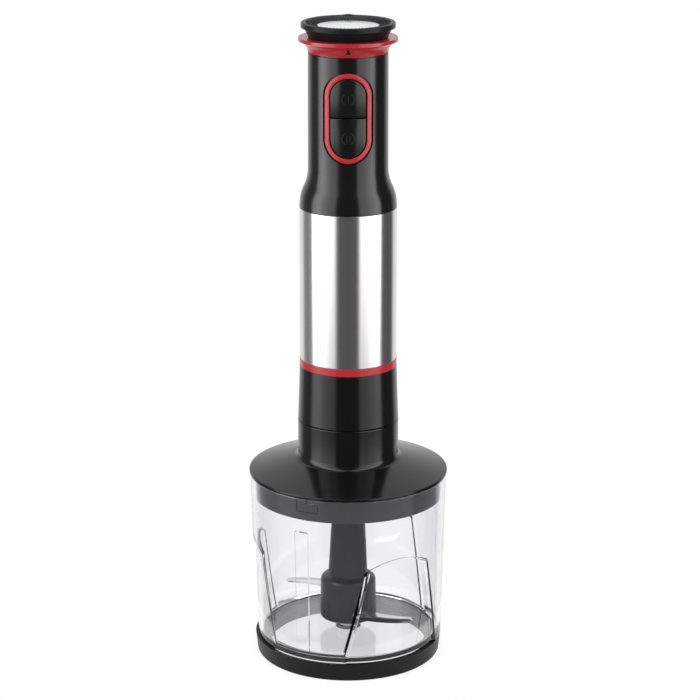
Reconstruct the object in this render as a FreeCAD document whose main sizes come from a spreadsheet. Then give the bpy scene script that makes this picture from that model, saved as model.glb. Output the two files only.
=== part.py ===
import FreeCAD, Part
import math
import os
import Sketcher

# An immersion blender: a motor unit that stands in the neck of a chopper lid, on a clear chopper bowl.
# +Z is up, the buttons face -Y, and the origin is the centre of the foot ring's underside. Millimetres.
# A turn about Z is counted from the front (-Y) towards +X.

SIZES = {
    # fits
    "snug_gap": 0.05,
    "loose_gap": 0.2,
    "running_gap": 0.06,
    "end_gap": 0.8,
    "edge_round": 0.6,
    "fine_edge_round": 0.3,
    # foot ring
    "foot_taper": 1.2,
    "foot_height": 12.9,
    "foot_base": 3.0,
    "foot_lip_height": 8.0,
    "foot_lip": 3.5,
    "foot_edge_round": 1.4,
    # bowl
    "bowl_base_radius": 57.2,
    "bowl_lean": 2.2,
    "bowl_wall": 2.4,
    "bowl_height": 102.2,
    "floor_rise": 0.8,
    "floor_round": 5.0,
    "floor_weld_inset": 1.0,
    "foot_spigot_step": 3.2,
    "foot_spigot_wall": 2.2,
    "boss_radius": 7.1,
    "boss_height": 6.5,
    "boss_edge_round": 0.5,
    "boss_foot_round": 1.0,
    "pin_radius": 4.0,
    "pin_headroom": 26.6,
    "pin_sink": 1.2,
    "pin_end_gap": 1.0,
    # dents in the bowl's wall
    "dent_turn": 33.0,
    "dent_depth": 1.8,
    "dent_base_half": 33.0,
    "dent_top_half": 20.6,
    "dent_height": 56.1,
    "dent_arch_radius": 40.0,
    "dent_margin": 1.3,
    "wall_pattern_count": 3,
    # strip for the filling marks
    "strip_turn": -28.0,
    "strip_angle": 8.6,
    "strip_length": 80.3,
    "strip_foot_gap": 0.6,
    "strip_proud": 0.45,
    # bayonet between bowl and lid
    "bayonet_turn": -28.3,
    "channel_half_angle": 3.3,
    "pocket_angle": 10.3,
    "channel_reach": 8.6,
    "pocket_height": 5.0,
    "channel_depth": 1.35,
    "lug_half_angle": 2.5,
    "lug_height": 4.0,
    "lug_play": 0.25,
    # blade set
    "hub_gap": 0.3,
    "hub_base_radius": 17.25,
    "hub_taper": 0.45,
    "hub_length": 25.8,
    "hub_edge_round": 1.6,
    "hub_shoulder_round": 3.4,
    "hub_cone_height": 2.2,
    "stem_foot_radius": 12.2,
    "stem_mid_drop": 21.6,
    "stem_mid_radius": 10.4,
    "stem_top_radius": 9.3,
    "spigot_flats": 9.0,
    "blade_thickness": 1.3,
    "blade_root_radius": 13.5,
    "blade_tip_gap": 5.0,
    "blade_root_width": 13.0,
    "blade_sweep": 26.0,
    "blade_knee": 1.5,
    "blade_tip_angle": 5.0,
    "blade_back_ratio": 0.8,
    "blade_grind": 2.2,
    "lower_blade_rise": 5.7,
    "upper_blade_rise": 12.5,
    "lower_blade_turn": 30.0,
    "upper_blade_turn": 210.0,
    # lid
    "lid_overhang": 0.6,
    "lid_seat_gap": 0.2,
    "lid_edge": 1.6,
    "lid_edge_round": 0.6,
    "lid_rise": 7.5,
    "lid_wall": 2.4,
    "flare_width": 3.3,
    "flare_height": 3.8,
    "flare_radius": 3.9,
    "neck_length": 20.6,
    "neck_wall": 2.55,
    "skirt_gap": 0.8,
    "skirt_wall": 2.0,
    "skirt_length": 14.4,
    "gearbox_depth": 29.8,
    "carrier_room": 5.0,
    "bearing_tube_wall": 4.2,
    "bearing_tube_length": 17.0,
    "shaft_seal_height": 3.2,
    "shaft_seal_width": 2.3,
    "shaft_seal_lip": 0.8,
    # planetary gearbox
    "gear_module": 1.0,
    "sun_teeth": 12,
    "planet_teeth": 15,
    "planet_count": 3,
    "addendum": 0.8,
    "dedendum": 1.02,
    "backlash": 0.12,
    "gear_height": 10.2,
    "gear_end_gap": 0.4,
    "ring_rim": 6.75,
    "carrier_rim_gap": 0.9,
    "carrier_thickness": 4.2,
    "planet_pin_radius": 2.5,
    "output_boss_radius": 8.7,
    "output_socket_depth": 11.8,
    "cover_thickness": 2.6,
    "cover_hole_gap": 0.3,
    "cover_screw_radius": 1.25,
    "cover_screw_turn": 60.0,
    "cover_screw_count": 3,
    "cover_screw_sink": 2.0,
    "screw_head_radius": 2.3,
    "screw_head_height": 1.5,
    "sun_socket_radius": 9.0,
    "sun_socket_drop": 2.4,
    "sun_socket_depth": 7.8,
    "sun_journal_radius": 2.4,
    "sun_journal_length": 3.0,
    # lower housing
    "motor_spigot_depth": 8.0,
    "motor_spigot_gap": 0.35,
    "motor_spigot_floor": 2.4,
    "motor_spigot_wall": 2.5,
    "coupling_clearance": 1.5,
    "housing_length": 33.4,
    "housing_foot_step": 0.05,
    "housing_mid_rise": 16.7,
    "housing_mid_proud": 0.75,
    "housing_top_proud": 0.28,
    "housing_wall": 2.5,
    "joint_gap": 0.2,
    "joint_edge_round": 0.5,
    # accent ring, sleeve and barrel
    "accent_height": 4.7,
    "accent_proud": 0.25,
    "sleeve_radius": 28.85,
    "sleeve_wall": 0.6,
    "sleeve_length": 92.1,
    "barrel_wall": 2.0,
    "spigot_wall": 2.0,
    "spigot_reach": 4.9,
    "grip_plug_length": 8.8,
    # grip
    "grip_length": 91.3,
    "grip_foot_rise": 3.7,
    "grip_foot_step": 0.28,
    "grip_bend_rise": 12.7,
    "grip_waist_rise": 22.8,
    "grip_waist_radius": 23.62,
    "grip_taper": 0.22,
    "grip_wall": 2.2,
    "shoulder_wall_step": 2.0,
    "shoulder_radius": 25.0,
    # buttons and their bezel
    "bezel_half": 14.1,
    "bezel_length": 53.3,
    "bezel_drop": 8.2,
    "bezel_proud": 0.58,
    "bezel_thickness": 2.7,
    "bezel_border": 3.4,
    "button_gap": 0.3,
    "button_drop": 0.25,
    "button_wall": 3.2,
    "button_split_rise": 0.35,
    "button_lip": 1.5,
    "button_lip_thickness": 1.2,
    "button_travel": 1.5,
    "button_stem_radius": 2.6,
    # switches
    "board_thickness": 1.6,
    "board_face": 8.5,
    "board_margin": 4.6,
    "board_corner_round": 1.5,
    "switch_width": 6.0,
    "switch_height": 4.2,
    "plunger_radius": 1.6,
    "plunger_height": 1.3,
    "switch_gap": 0.1,
    "spring_radius": 5.1,
    "spring_wire": 0.3,
    "spring_turns": 3,
    # speed control
    "control_board_drop": 8.7,
    "potentiometer_radius": 8.0,
    "potentiometer_height": 6.5,
    "potentiometer_bush_radius": 4.6,
    "dial_shaft_radius": 3.0,
    "dial_shaft_cover": 1.4,
    # collar
    "collar_foot_proud": 0.32,
    "collar_groove_height": 0.6,
    "collar_groove_depth": 1.2,
    "collar_neck_rise": 1.6,
    "collar_cove_width": 1.45,
    "collar_cove_rise": 4.4,
    "collar_flange_proud": 0.19,
    "collar_cove_arc": 5.5,
    "collar_flare_arc": 6.5,
    "collar_flange_rise": 7.0,
    "collar_flange_thickness": 2.0,
    "collar_recess_depth": 1.1,
    "collar_recess_gap": 0.7,
    "collar_plate": 2.2,
    "collar_spigot_length": 6.5,
    "collar_spigot_wall": 1.8,
    # dial
    "dial_gap": 0.5,
    "dial_foot_radius": 22.6,
    "dial_cone_flare": 3.0,
    "dial_cone_height": 5.6,
    "dial_lip_rise": 0.6,
    "dial_lip_width": 1.9,
    "dial_rim_height": 3.0,
    "dial_edge_round": 0.9,
    "dial_rim_width": 2.3,
    "dial_hump_height": 0.4,
    "dial_hump_inset": 0.5,
    "dial_hump_width": 1.4,
    "dial_hump_angle": 14.0,
    "dial_wall": 1.9,
    "dial_hub_radius": 6.0,
    "cap_radius": 17.9,
    "cap_drop": 2.9,
    "cap_thickness": 1.3,
    "cap_crown": 0.26,
    "dish_depth": 2.0,
    # cord gland
    "gland_drop": 17.0,
    "gland_bore": 3.2,
    "gland_neck": 5.2,
    "gland_flange": 6.6,
    "gland_flange_thickness": 1.6,
    "gland_clip": 0.9,
    "gland_clip_drop": 2.6,
    "gland_clip_thickness": 1.4,
    "gland_boss_radius": 8.0,
    "gland_boss_proud": 0.38,
    # motor
    "shaft_radius": 3.0,
    "shaft_step": 1.6,
    "shaft_stub": 8.0,
    "coupling_step": 1.6,
    "coupling_length": 10.0,
    "coupling_flats": 9.6,
    "coupling_collar_radius": 7.0,
    "socket_play": 0.15,
    "bearing_radius": 8.0,
    "bearing_width": 6.0,
    "bearing_recess": 0.6,
    "bearing_ring_width": 1.4,
    "lower_bearing_drop": 28.0,
    "upper_bearing_rise": 22.0,
    "bearing_cup_wall": 2.4,
    "bracket_thickness": 3.0,
    "bracket_ring_wall": 1.5,
    "bracket_bore_gap": 1.5,
    "bracket_window_radius": 3.6,
    "bracket_window_gap": 3.0,
    "bracket_windows": 6,
    "fan_drop": 17.0,
    "fan_height": 8.4,
    "fan_plate": 1.4,
    "fan_tip_gap": 1.2,
    "fan_edge_gap": 0.5,
    "fan_hub_radius": 6.0,
    "fan_blade_thickness": 1.2,
    "fan_blades": 9,
    "stator_rise": 5.9,
    "stator_height": 33.0,
    "damper_thickness": 1.1,
    "yoke_width": 5.0,
    "pole_bore": 13.5,
    "pole_half_width": 7.6,
    "shoe_thickness": 2.4,
    "shoe_half_angle": 54.0,
    "coil_side": 5.0,
    "coil_overhang": 4.2,
    "coil_gap": 0.2,
    "coil_corner_round": 2.0,
    "air_gap": 0.5,
    "armature_slots": 12,
    "slot_width": 1.9,
    "slot_depth": 4.6,
    "winding_inner_radius": 5.0,
    "winding_edge_gap": 0.8,
    "winding_overhang": 6.4,
    "winding_round": 2.4,
    "commutator_radius": 8.0,
    "commutator_gap": 2.0,
    "commutator_height": 10.0,
    "commutator_groove": 0.5,
    "commutator_groove_depth": 0.9,
    "brush_half_width": 2.6,
    "brush_half_height": 3.4,
    "brush_length": 9.4,
    "holder_wall": 0.8,
    "holder_gap": 2.4,
    "holder_length": 12.0,
    "bolt_radius": 1.5,
    "bolt_inset": 2.9,
    "bolt_head_radius": 2.7,
    "bolt_head_height": 2.0,
    "damper_height": 4.0,
    "damper_offset": 3.0,
}

doc = FreeCAD.newDocument("immersion_blender")
sheet = doc.addObject("Spreadsheet::Sheet", "Sizes")
for row, (alias, amount) in enumerate(SIZES.items(), start=1):
    sheet.set(f"A{row}", alias.replace("_", " "))
    sheet.set(f"B{row}", str(amount))
    sheet.setAlias(f"B{row}", alias)
doc.recompute()


class Size:
    """A length or an angle that knows its value and the sheet expression that gives it."""

    def __init__(self, value, text):
        self.value = value
        self.text = text

    def __add__(self, other):
        other = size(other)
        return Size(self.value + other.value, f"({self.text} + {other.text})")

    def __sub__(self, other):
        other = size(other)
        return Size(self.value - other.value, f"({self.text} - {other.text})")

    def __mul__(self, other):
        other = size(other)
        return Size(self.value * other.value, f"({self.text} * {other.text})")

    def __truediv__(self, other):
        other = size(other)
        return Size(self.value / other.value, f"({self.text} / {other.text})")

    def __radd__(self, other):
        return size(other) + self

    def __rsub__(self, other):
        return size(other) - self

    def __rmul__(self, other):
        return size(other) * self

    def __neg__(self):
        return Size(-self.value, f"(0 - {self.text})")


def size(thing):
    """Make a plain number a Size; a Size passes through."""
    return thing if isinstance(thing, Size) else Size(float(thing), repr(float(thing)))


def sine(angle):
    angle = size(angle)
    return Size(math.sin(math.radians(angle.value)), f"sin({angle.text})")


def cosine(angle):
    angle = size(angle)
    return Size(math.cos(math.radians(angle.value)), f"cos({angle.text})")


class Sheet:
    """Each alias of the spreadsheet as a Size, read back from its cell."""

    def __getattr__(self, alias):
        return Size(float(sheet.get(alias)), f"Sizes.{alias}")


s = Sheet()

# Levels and radii that follow from the sizes: the object is a stack on one axis.
s.foot_radius = s.bowl_base_radius - 2 * s.snug_gap
s.foot_spigot_radius = s.bowl_base_radius - s.foot_spigot_step
s.bowl_rim_radius = s.bowl_base_radius + s.bowl_lean
s.floor_radius = s.bowl_base_radius - s.bowl_wall - s.floor_round - s.floor_weld_inset
s.bowl_rim_height = s.foot_height + s.bowl_height
s.floor_height = s.foot_height + s.floor_rise
s.boss_top = s.floor_height + s.boss_height
s.dent_shoulder_height = s.foot_height + s.dent_height
s.strip_top = s.floor_height + s.strip_length
s.channel_floor = s.bowl_rim_height - s.channel_reach

s.lid_radius = s.bowl_rim_radius + s.lid_overhang
s.lid_under = s.bowl_rim_height + s.lid_seat_gap
s.skirt_radius = s.bowl_rim_radius - s.bowl_wall - s.skirt_gap
s.flare_foot_height = s.lid_under + s.lid_edge + s.lid_rise
s.flare_top_height = s.flare_foot_height + s.flare_height
s.neck_top = s.flare_top_height + s.neck_length
s.skirt_bottom = s.lid_under - s.skirt_length
s.gearbox_floor = s.neck_top - s.gearbox_depth
s.bearing_tube_bottom = s.gearbox_floor - s.bearing_tube_length

s.hub_bottom = s.boss_top + s.hub_gap
s.hub_top_radius = s.hub_base_radius - s.hub_taper
s.hub_shoulder = s.hub_bottom + s.hub_length
s.stem_foot_height = s.hub_shoulder + s.hub_cone_height
s.stem_top = s.bearing_tube_bottom - 2 * s.loose_gap
s.stem_mid_height = s.stem_top - s.stem_mid_drop
s.pin_top = s.stem_top - s.pin_headroom
s.lower_blade_height = s.hub_bottom + s.lower_blade_rise
s.upper_blade_height = s.hub_bottom + s.upper_blade_rise
s.blade_tip_radius = s.bowl_base_radius - s.bowl_wall - s.dent_depth - s.blade_tip_gap
s.output_boss_bottom = s.bearing_tube_bottom + s.loose_gap
s.output_socket_top = s.output_boss_bottom + s.output_socket_depth
s.spigot_top = s.output_socket_top - s.end_gap

s.sun_pitch_radius = s.gear_module * s.sun_teeth / 2
s.planet_pitch_radius = s.gear_module * s.planet_teeth / 2
s.centre_distance = s.sun_pitch_radius + s.planet_pitch_radius
s.ring_pitch_radius = s.sun_pitch_radius + 2 * s.planet_pitch_radius
s.ring_root_radius = s.ring_pitch_radius + s.dedendum * s.gear_module
s.neck_inner = s.ring_pitch_radius + s.ring_rim
s.neck_radius = s.neck_inner + s.neck_wall
s.flare_foot_radius = s.neck_radius + s.flare_width
s.carrier_room_radius = s.ring_pitch_radius + 0.5 * s.gear_module
s.carrier_radius = s.carrier_room_radius - s.carrier_rim_gap
s.cover_screw_circle = (s.ring_root_radius + s.neck_inner) / 2
s.gear_shelf = s.gearbox_floor + s.carrier_room
s.gears_bottom = s.gear_shelf + s.gear_end_gap / 2
s.gears_top = s.gear_shelf + s.gear_height - s.gear_end_gap
s.cover_bottom = s.gear_shelf + s.gear_height
s.cover_top = s.cover_bottom + s.cover_thickness
s.carrier_bottom = s.gearbox_floor + s.gear_end_gap
s.carrier_top = s.carrier_bottom + s.carrier_thickness
s.boss_bore = s.output_boss_radius + s.running_gap
s.sun_socket_top = s.neck_top - s.sun_socket_drop
s.sun_socket_floor = s.sun_socket_top - s.sun_socket_depth

s.motor_spigot_bottom = s.neck_top - s.motor_spigot_depth
s.motor_spigot_radius = s.neck_inner - s.motor_spigot_gap
s.coupling_opening = s.sun_socket_radius + s.coupling_clearance
s.housing_bottom = s.neck_top + s.joint_gap
s.housing_foot_radius = s.neck_radius - s.housing_foot_step
s.housing_mid_radius = s.sleeve_radius + s.housing_mid_proud
s.housing_mid_height = s.housing_bottom + s.housing_mid_rise
s.housing_top_radius = s.sleeve_radius + s.housing_top_proud
s.housing_top = s.housing_bottom + s.housing_length
s.accent_top = s.housing_top + s.accent_height
s.sleeve_top = s.accent_top + s.sleeve_length
s.sleeve_inner = s.sleeve_radius - s.sleeve_wall
s.barrel_outer = s.sleeve_inner - s.snug_gap
s.barrel_inner = s.barrel_outer - s.barrel_wall
s.spigot_outer = s.barrel_inner - s.snug_gap
s.spigot_inner = s.spigot_outer - s.spigot_wall

s.grip_foot_height = s.sleeve_top + s.grip_foot_rise
s.grip_foot_radius = s.sleeve_radius - s.grip_foot_step
s.grip_bend_height = s.sleeve_top + s.grip_bend_rise
s.grip_bend_radius = (s.grip_foot_radius + s.grip_waist_radius) / 2
s.grip_waist_height = s.sleeve_top + s.grip_waist_rise
s.grip_top = s.sleeve_top + s.grip_length
s.grip_top_radius = s.grip_waist_radius - s.grip_taper
s.grip_inner = s.grip_waist_radius - s.grip_wall
s.bezel_top = s.grip_top - s.bezel_drop
s.bezel_bottom = s.bezel_top - s.bezel_length
s.bezel_radius = s.grip_waist_radius + s.bezel_proud
s.button_radius = s.bezel_radius - s.button_drop
s.button_split = (s.bezel_top + s.bezel_bottom) / 2 + s.button_split_rise
s.board_bottom = s.bezel_bottom + s.board_margin
s.board_top = s.bezel_top - s.board_margin
s.control_board_bottom = s.grip_top - s.control_board_drop
s.gland_height = s.grip_top - s.gland_drop
s.gland_seat = s.grip_waist_radius + s.gland_boss_proud

s.collar_foot_radius = s.grip_waist_radius - s.grip_taper + s.collar_foot_proud / 3
s.collar_spigot_bottom = s.grip_top - s.collar_spigot_length
s.collar_neck_height = s.grip_top + s.collar_neck_rise
s.collar_cove_radius = s.collar_foot_radius + s.collar_cove_width
s.collar_cove_height = s.grip_top + s.collar_cove_rise
s.collar_flange_radius = s.sleeve_radius + s.collar_flange_proud
s.collar_flange_bottom = s.grip_top + s.collar_flange_rise
s.collar_top = s.collar_flange_bottom + s.collar_flange_thickness
s.collar_recess_radius = s.dial_foot_radius + s.collar_recess_gap
s.collar_recess_floor = s.collar_top - s.collar_recess_depth
s.dial_bottom = s.collar_recess_floor + s.dial_gap
s.dial_cone_radius = s.dial_foot_radius + s.dial_cone_flare
s.dial_cone_top = s.dial_bottom + s.dial_cone_height
s.dial_lip_height = s.dial_cone_top + s.dial_lip_rise
s.dial_radius = s.dial_cone_radius + s.dial_lip_width
s.dial_top = s.dial_lip_height + s.dial_rim_height
s.cap_bottom = s.dial_top - s.cap_drop
s.dial_shaft_top = s.cap_bottom - s.dial_shaft_cover

s.stator_bottom = s.accent_top + s.stator_rise
s.stator_top = s.stator_bottom + s.stator_height
s.stator_radius = s.barrel_inner - s.damper_thickness - 2 * s.snug_gap
s.yoke_inner_radius = s.stator_radius - s.yoke_width
s.armature_radius = s.pole_bore - s.air_gap
s.winding_outer_radius = s.armature_radius - s.winding_edge_gap
s.bolt_circle = s.stator_radius - s.bolt_inset
s.fan_radius = s.bolt_circle - s.bolt_radius - s.fan_tip_gap
s.fan_bottom = s.stator_bottom - s.fan_drop
s.lower_bearing_bottom = s.stator_bottom - s.lower_bearing_drop
s.upper_bearing_bottom = s.stator_top + s.upper_bearing_rise
s.bracket_window_circle = s.bearing_radius + s.bearing_cup_wall + s.bracket_window_radius + s.bracket_window_gap
s.commutator_bottom = s.stator_top + s.winding_overhang + s.commutator_gap
s.brush_height = s.upper_bearing_bottom - s.bracket_thickness - s.holder_wall - s.brush_half_height - s.snug_gap
s.brush_outer = s.commutator_radius + s.brush_length
s.holder_inner = s.commutator_radius + s.holder_gap
s.holder_outer = s.holder_inner + s.holder_length
s.coupling_bottom = s.sun_socket_floor + s.end_gap
s.coupling_shoulder = s.sun_socket_top + s.coupling_step
s.coupling_top = s.coupling_shoulder + s.coupling_length
s.shaft_bottom = s.coupling_bottom + s.shaft_step
s.shaft_top = s.upper_bearing_bottom + s.shaft_stub


# ---- sketches ----------------------------------------------------------------------------------------

class Corner:
    """A point of an outline. It may be rounded, or the edge that arrives at it may be an arc."""

    def __init__(self, x, y, rounding=None, arc=None, centre="left"):
        self.x = size(x)
        self.y = size(y)
        self.rounding = None if rounding is None else size(rounding)
        self.arc = None if arc is None else size(arc)
        self.centre = centre

    def spot(self):
        return FreeCAD.Vector(self.x.value, self.y.value, 0)


def polar(radius, turn):
    """The x and y of a spot at this radius, turned about Z from the front (-Y) towards +X."""
    return radius * sine(turn), -(radius * cosine(turn))


def around(radius, turn, **how):
    return Corner(*polar(radius, turn), **how)


def chord(radius, distance):
    """Half the chord that a circle leaves at this distance from its centre."""
    return Size(math.sqrt(radius.value ** 2 - distance.value ** 2),
                f"sqrt({radius.text}^2 - {distance.text}^2)")


def arc_edge(start, end, centre, clockwise):
    """The arc from start to end about centre. Sketch arcs run counter-clockwise, so ends may swap."""
    radius = (start - centre).Length
    first, last = (end, start) if clockwise else (start, end)
    a0 = math.atan2(first.y - centre.y, first.x - centre.x)
    a1 = math.atan2(last.y - centre.y, last.x - centre.x)
    if a1 <= a0:
        a1 += 2 * math.pi
    circle = Part.Circle(centre, FreeCAD.Vector(0, 0, 1), radius)
    return Part.ArcOfCircle(circle, a0, a1)


def hold_point(sketch, index, position, corner):
    """Tie one point of the sketch to the sheet by its two distances from the sketch's origin."""
    for kind, amount in (("DistanceX", corner.x), ("DistanceY", corner.y)):
        if amount.value == 0 and amount.text in ("0.0", "-0.0"):
            axis = -2 if kind == "DistanceX" else -1
            sketch.addConstraint(Sketcher.Constraint("PointOnObject", index, position, axis))
            continue
        number = sketch.addConstraint(Sketcher.Constraint(kind, -1, 1, index, position, amount.value))
        sketch.setExpression(f"Constraints[{number}]", amount.text)


def hold_radius(sketch, index, radius):
    number = sketch.addConstraint(Sketcher.Constraint("Radius", index, radius.value))
    sketch.setExpression(f"Constraints[{number}]", radius.text)


def draw_outline(sketch, corners):
    """Draw a closed outline of straight edges, arcs and rounded corners, held by the sheet's sizes."""
    spots = [corner.spot() for corner in corners]
    count = len(corners)
    starts = list(spots)
    ends = list(spots)
    rounds = {}
    for i, corner in enumerate(corners):
        if corner.rounding is None:
            continue
        back = (spots[i - 1] - spots[i]).normalize()
        ahead = (spots[(i + 1) % count] - spots[i]).normalize()
        half = back.getAngle(ahead) / 2
        reach = corner.rounding.value / math.tan(half)
        bisector = (back + ahead).normalize()
        ends[i] = spots[i] + back * reach
        starts[i] = spots[i] + ahead * reach
        centre = spots[i] + bisector * (corner.rounding.value / math.sin(half))
        rounds[i] = (centre, back.cross(ahead).z > 0)
    edges = []
    for i, corner in enumerate(corners):
        start, end = starts[i - 1], ends[i]
        if corner.arc is None:
            number = sketch.addGeometry(Part.LineSegment(start, end))
            edges.append((number, 1, 2))
            continue
        middle = (start + end) * 0.5
        along = (end - start) * 0.5
        height = math.sqrt(max(corner.arc.value ** 2 - along.Length ** 2, 0.0))
        left = FreeCAD.Vector(-along.y, along.x, 0).normalize()
        clockwise = corner.centre == "right"
        centre = middle + left * (-height if clockwise else height)
        number = sketch.addGeometry(arc_edge(start, end, centre, clockwise))
        edges.append((number, 2, 1) if clockwise else (number, 1, 2))
        hold_radius(sketch, number, corner.arc)
    for i, corner in enumerate(corners):
        before, _, before_end = edges[i]
        after, after_start, _ = edges[(i + 1) % count]
        if corner.rounding is None:
            sketch.addConstraint(Sketcher.Constraint("Coincident", before, before_end, after, after_start))
            hold_point(sketch, before, before_end, corner)
            continue
        centre, clockwise = rounds[i]
        number = sketch.addGeometry(arc_edge(ends[i], starts[i], centre, clockwise))
        first, last = (2, 1) if clockwise else (1, 2)
        sketch.addConstraint(Sketcher.Constraint("Tangent", before, before_end, number, first))
        sketch.addConstraint(Sketcher.Constraint("Tangent", number, last, after, after_start))
        hold_radius(sketch, number, corner.rounding)
        point = sketch.addGeometry(Part.Point(spots[i]), True)
        hold_point(sketch, point, 1, corner)
        sketch.addConstraint(Sketcher.Constraint("PointOnObject", point, 1, before))
        sketch.addConstraint(Sketcher.Constraint("PointOnObject", point, 1, after))


def draw_circle(sketch, x, y, radius):
    centre = Corner(x, y)
    radius = size(radius)
    number = sketch.addGeometry(Part.Circle(centre.spot(), FreeCAD.Vector(0, 0, 1), radius.value))
    hold_point(sketch, number, 3, centre)
    hold_radius(sketch, number, radius)


def origin_part(body, role):
    return next(item for item in body.Origin.OriginFeatures if item.Role == role)


def new_sketch(body, name, plane, level=0):
    """A sketch on one of the body's origin planes, moved along that plane's normal by level."""
    sketch = body.newObject("Sketcher::SketchObject", name)
    sketch.AttachmentSupport = (origin_part(body, plane), [""])
    sketch.MapMode = "FlatFace"
    level = size(level)
    sketch.AttachmentOffset = FreeCAD.Placement(FreeCAD.Vector(0, 0, level.value), FreeCAD.Rotation())
    if level.value != 0:
        sketch.setExpression("AttachmentOffset.Base.z", level.text)
    return sketch


def fill(sketch, outlines):
    """Draw each outline: a list of Corners, or a circle given as (x, y, radius)."""
    for outline in outlines:
        if isinstance(outline, tuple):
            draw_circle(sketch, *outline)
        else:
            draw_outline(sketch, outline)


# ---- features ----------------------------------------------------------------------------------------

def new_body(name):
    return doc.addObject("PartDesign::Body", name)


def turned(body, name, outlines, angle=360.0, cut=False, plane="XZ_Plane"):
    """Turn outlines of (radius, height) about Z, to add a solid or to cut one away."""
    sketch = new_sketch(body, name + "_profile", plane)
    fill(sketch, outlines)
    kind = "PartDesign::Groove" if cut else "PartDesign::Revolution"
    feature = body.newObject(kind, name)
    feature.Profile = sketch
    feature.ReferenceAxis = (sketch, ["V_Axis"])
    angle = size(angle)
    feature.Angle = angle.value
    if angle.value != 360.0:
        feature.setExpression("Angle", angle.text)
        feature.Midplane = True
    body.Tip = feature
    doc.recompute()
    return feature


def raised(body, name, outlines, level, length, plane="XY_Plane", both_ways=False):
    """Pad outlines by length from the level, along the plane's normal."""
    sketch = new_sketch(body, name + "_outline", plane, level)
    fill(sketch, outlines)
    feature = body.newObject("PartDesign::Pad", name)
    feature.Profile = sketch
    length = size(length)
    feature.Length = length.value
    feature.setExpression("Length", length.text)
    feature.Midplane = both_ways
    body.Tip = feature
    doc.recompute()
    return feature


def cut_away(body, name, outlines, level, length, plane="XY_Plane", both_ways=False):
    """Pocket outlines by length from the level, along the plane's normal."""
    before = body.Shape.Volume
    sketch = new_sketch(body, name + "_outline", plane, level)
    fill(sketch, outlines)
    feature = body.newObject("PartDesign::Pocket", name)
    feature.Profile = sketch
    length = size(length)
    feature.Length = length.value
    feature.setExpression("Length", length.text)
    feature.Midplane = both_ways
    feature.Reversed = not both_ways
    body.Tip = feature
    doc.recompute()
    if body.Shape.Volume >= before:
        raise RuntimeError(f"{name} cuts nothing")
    return feature


def repeated(body, feature, count):
    """Repeat a feature evenly about the body's Z axis."""
    pattern = body.newObject("PartDesign::PolarPattern", feature.Name + "_pattern")
    pattern.Originals = [feature]
    pattern.Axis = (origin_part(body, "Z_Axis"), [""])
    pattern.Angle = 360
    count = size(count)
    pattern.Occurrences = int(count.value)
    pattern.setExpression("Occurrences", count.text)
    body.Tip = pattern
    doc.recompute()
    return pattern


def joined(kind, name, base, tool):
    """A Part boolean of two objects: Cut, Fuse or Common."""
    result = doc.addObject(f"Part::{kind}", name)
    result.Base = base
    result.Tool = tool
    doc.recompute()
    return result


def hexagon(flats, turn=0):
    """A hexagon about the Z axis, given by its width across flats."""
    radius = flats / (2 * cosine(30))
    return [around(radius, size(turn) + 60 * i) for i in range(6)]


def sector(inner, outer, start, end):
    """Part of a ring about the Z axis between two turns."""
    return [around(inner, start, arc=inner, centre="right"), around(outer, start),
            around(outer, end, arc=outer), around(inner, end)]


def ring(inner, outer, bottom, top):
    return [Corner(inner, bottom), Corner(outer, bottom), Corner(outer, top), Corner(inner, top)]


def box(left, right, bottom, top, rounding=None):
    return [Corner(left, bottom, rounding), Corner(right, bottom, rounding),
            Corner(right, top, rounding), Corner(left, top, rounding)]


def stadium(half, bottom, top):
    """An upright slot with round ends."""
    return [Corner(half, bottom + half, arc=half), Corner(half, top - half),
            Corner(0, top, arc=half), Corner(-half, top - half, arc=half),
            Corner(-half, bottom + half), Corner(0, bottom, arc=half)]


PARTS = {}


def keep(node, thing):
    """Name a finished sub-part; its label is its node's name."""
    thing.Label = node
    PARTS[node] = thing
    return thing


# ---- bowl --------------------------------------------------------------------------------------------

bowl_slope = (s.bowl_rim_radius - s.bowl_base_radius) / (s.bowl_rim_height - s.foot_height)
floor_under = s.floor_height - s.bowl_wall
foot_spigot_inner = s.foot_spigot_radius - s.foot_spigot_wall
pin_bottom = floor_under + s.pin_sink


def wall_radius(height):
    """The bowl's outer radius at a height: the wall leans outwards to leave its mould."""
    return s.bowl_base_radius + bowl_slope * (height - s.foot_height)


def foot_ring():
    body = new_body("foot_ring_body")
    inner = foot_spigot_inner - s.foot_lip
    turned(body, "foot_section", [[
        Corner(inner, 0, rounding=s.foot_edge_round),
        Corner(s.foot_radius - s.foot_taper, 0, rounding=s.foot_edge_round),
        Corner(s.foot_radius, s.foot_height),
        Corner(s.foot_spigot_radius + s.snug_gap, s.foot_height),
        Corner(s.foot_spigot_radius + s.snug_gap, s.foot_base),
        Corner(foot_spigot_inner - s.snug_gap, s.foot_base),
        Corner(foot_spigot_inner - s.snug_gap, s.foot_lip_height),
        Corner(inner, s.foot_lip_height),
    ]])
    return body


def bowl_floor():
    """The floor's flat disc, welded into the wall's foot, with the boss that holds the blade pin."""
    body = new_body("bowl_floor_body")
    turned(body, "floor_section", [[
        Corner(0, floor_under),
        Corner(s.floor_radius, floor_under),
        Corner(s.floor_radius, s.floor_height),
        Corner(s.boss_radius, s.floor_height, rounding=s.boss_foot_round),
        Corner(s.boss_radius, s.boss_top, rounding=s.boss_edge_round),
        Corner(0, s.boss_top),
    ]])
    turned(body, "pin_bore", [ring(0, s.pin_radius + s.snug_gap, pin_bottom, s.boss_top + 1)], cut=True)
    return body


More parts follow.
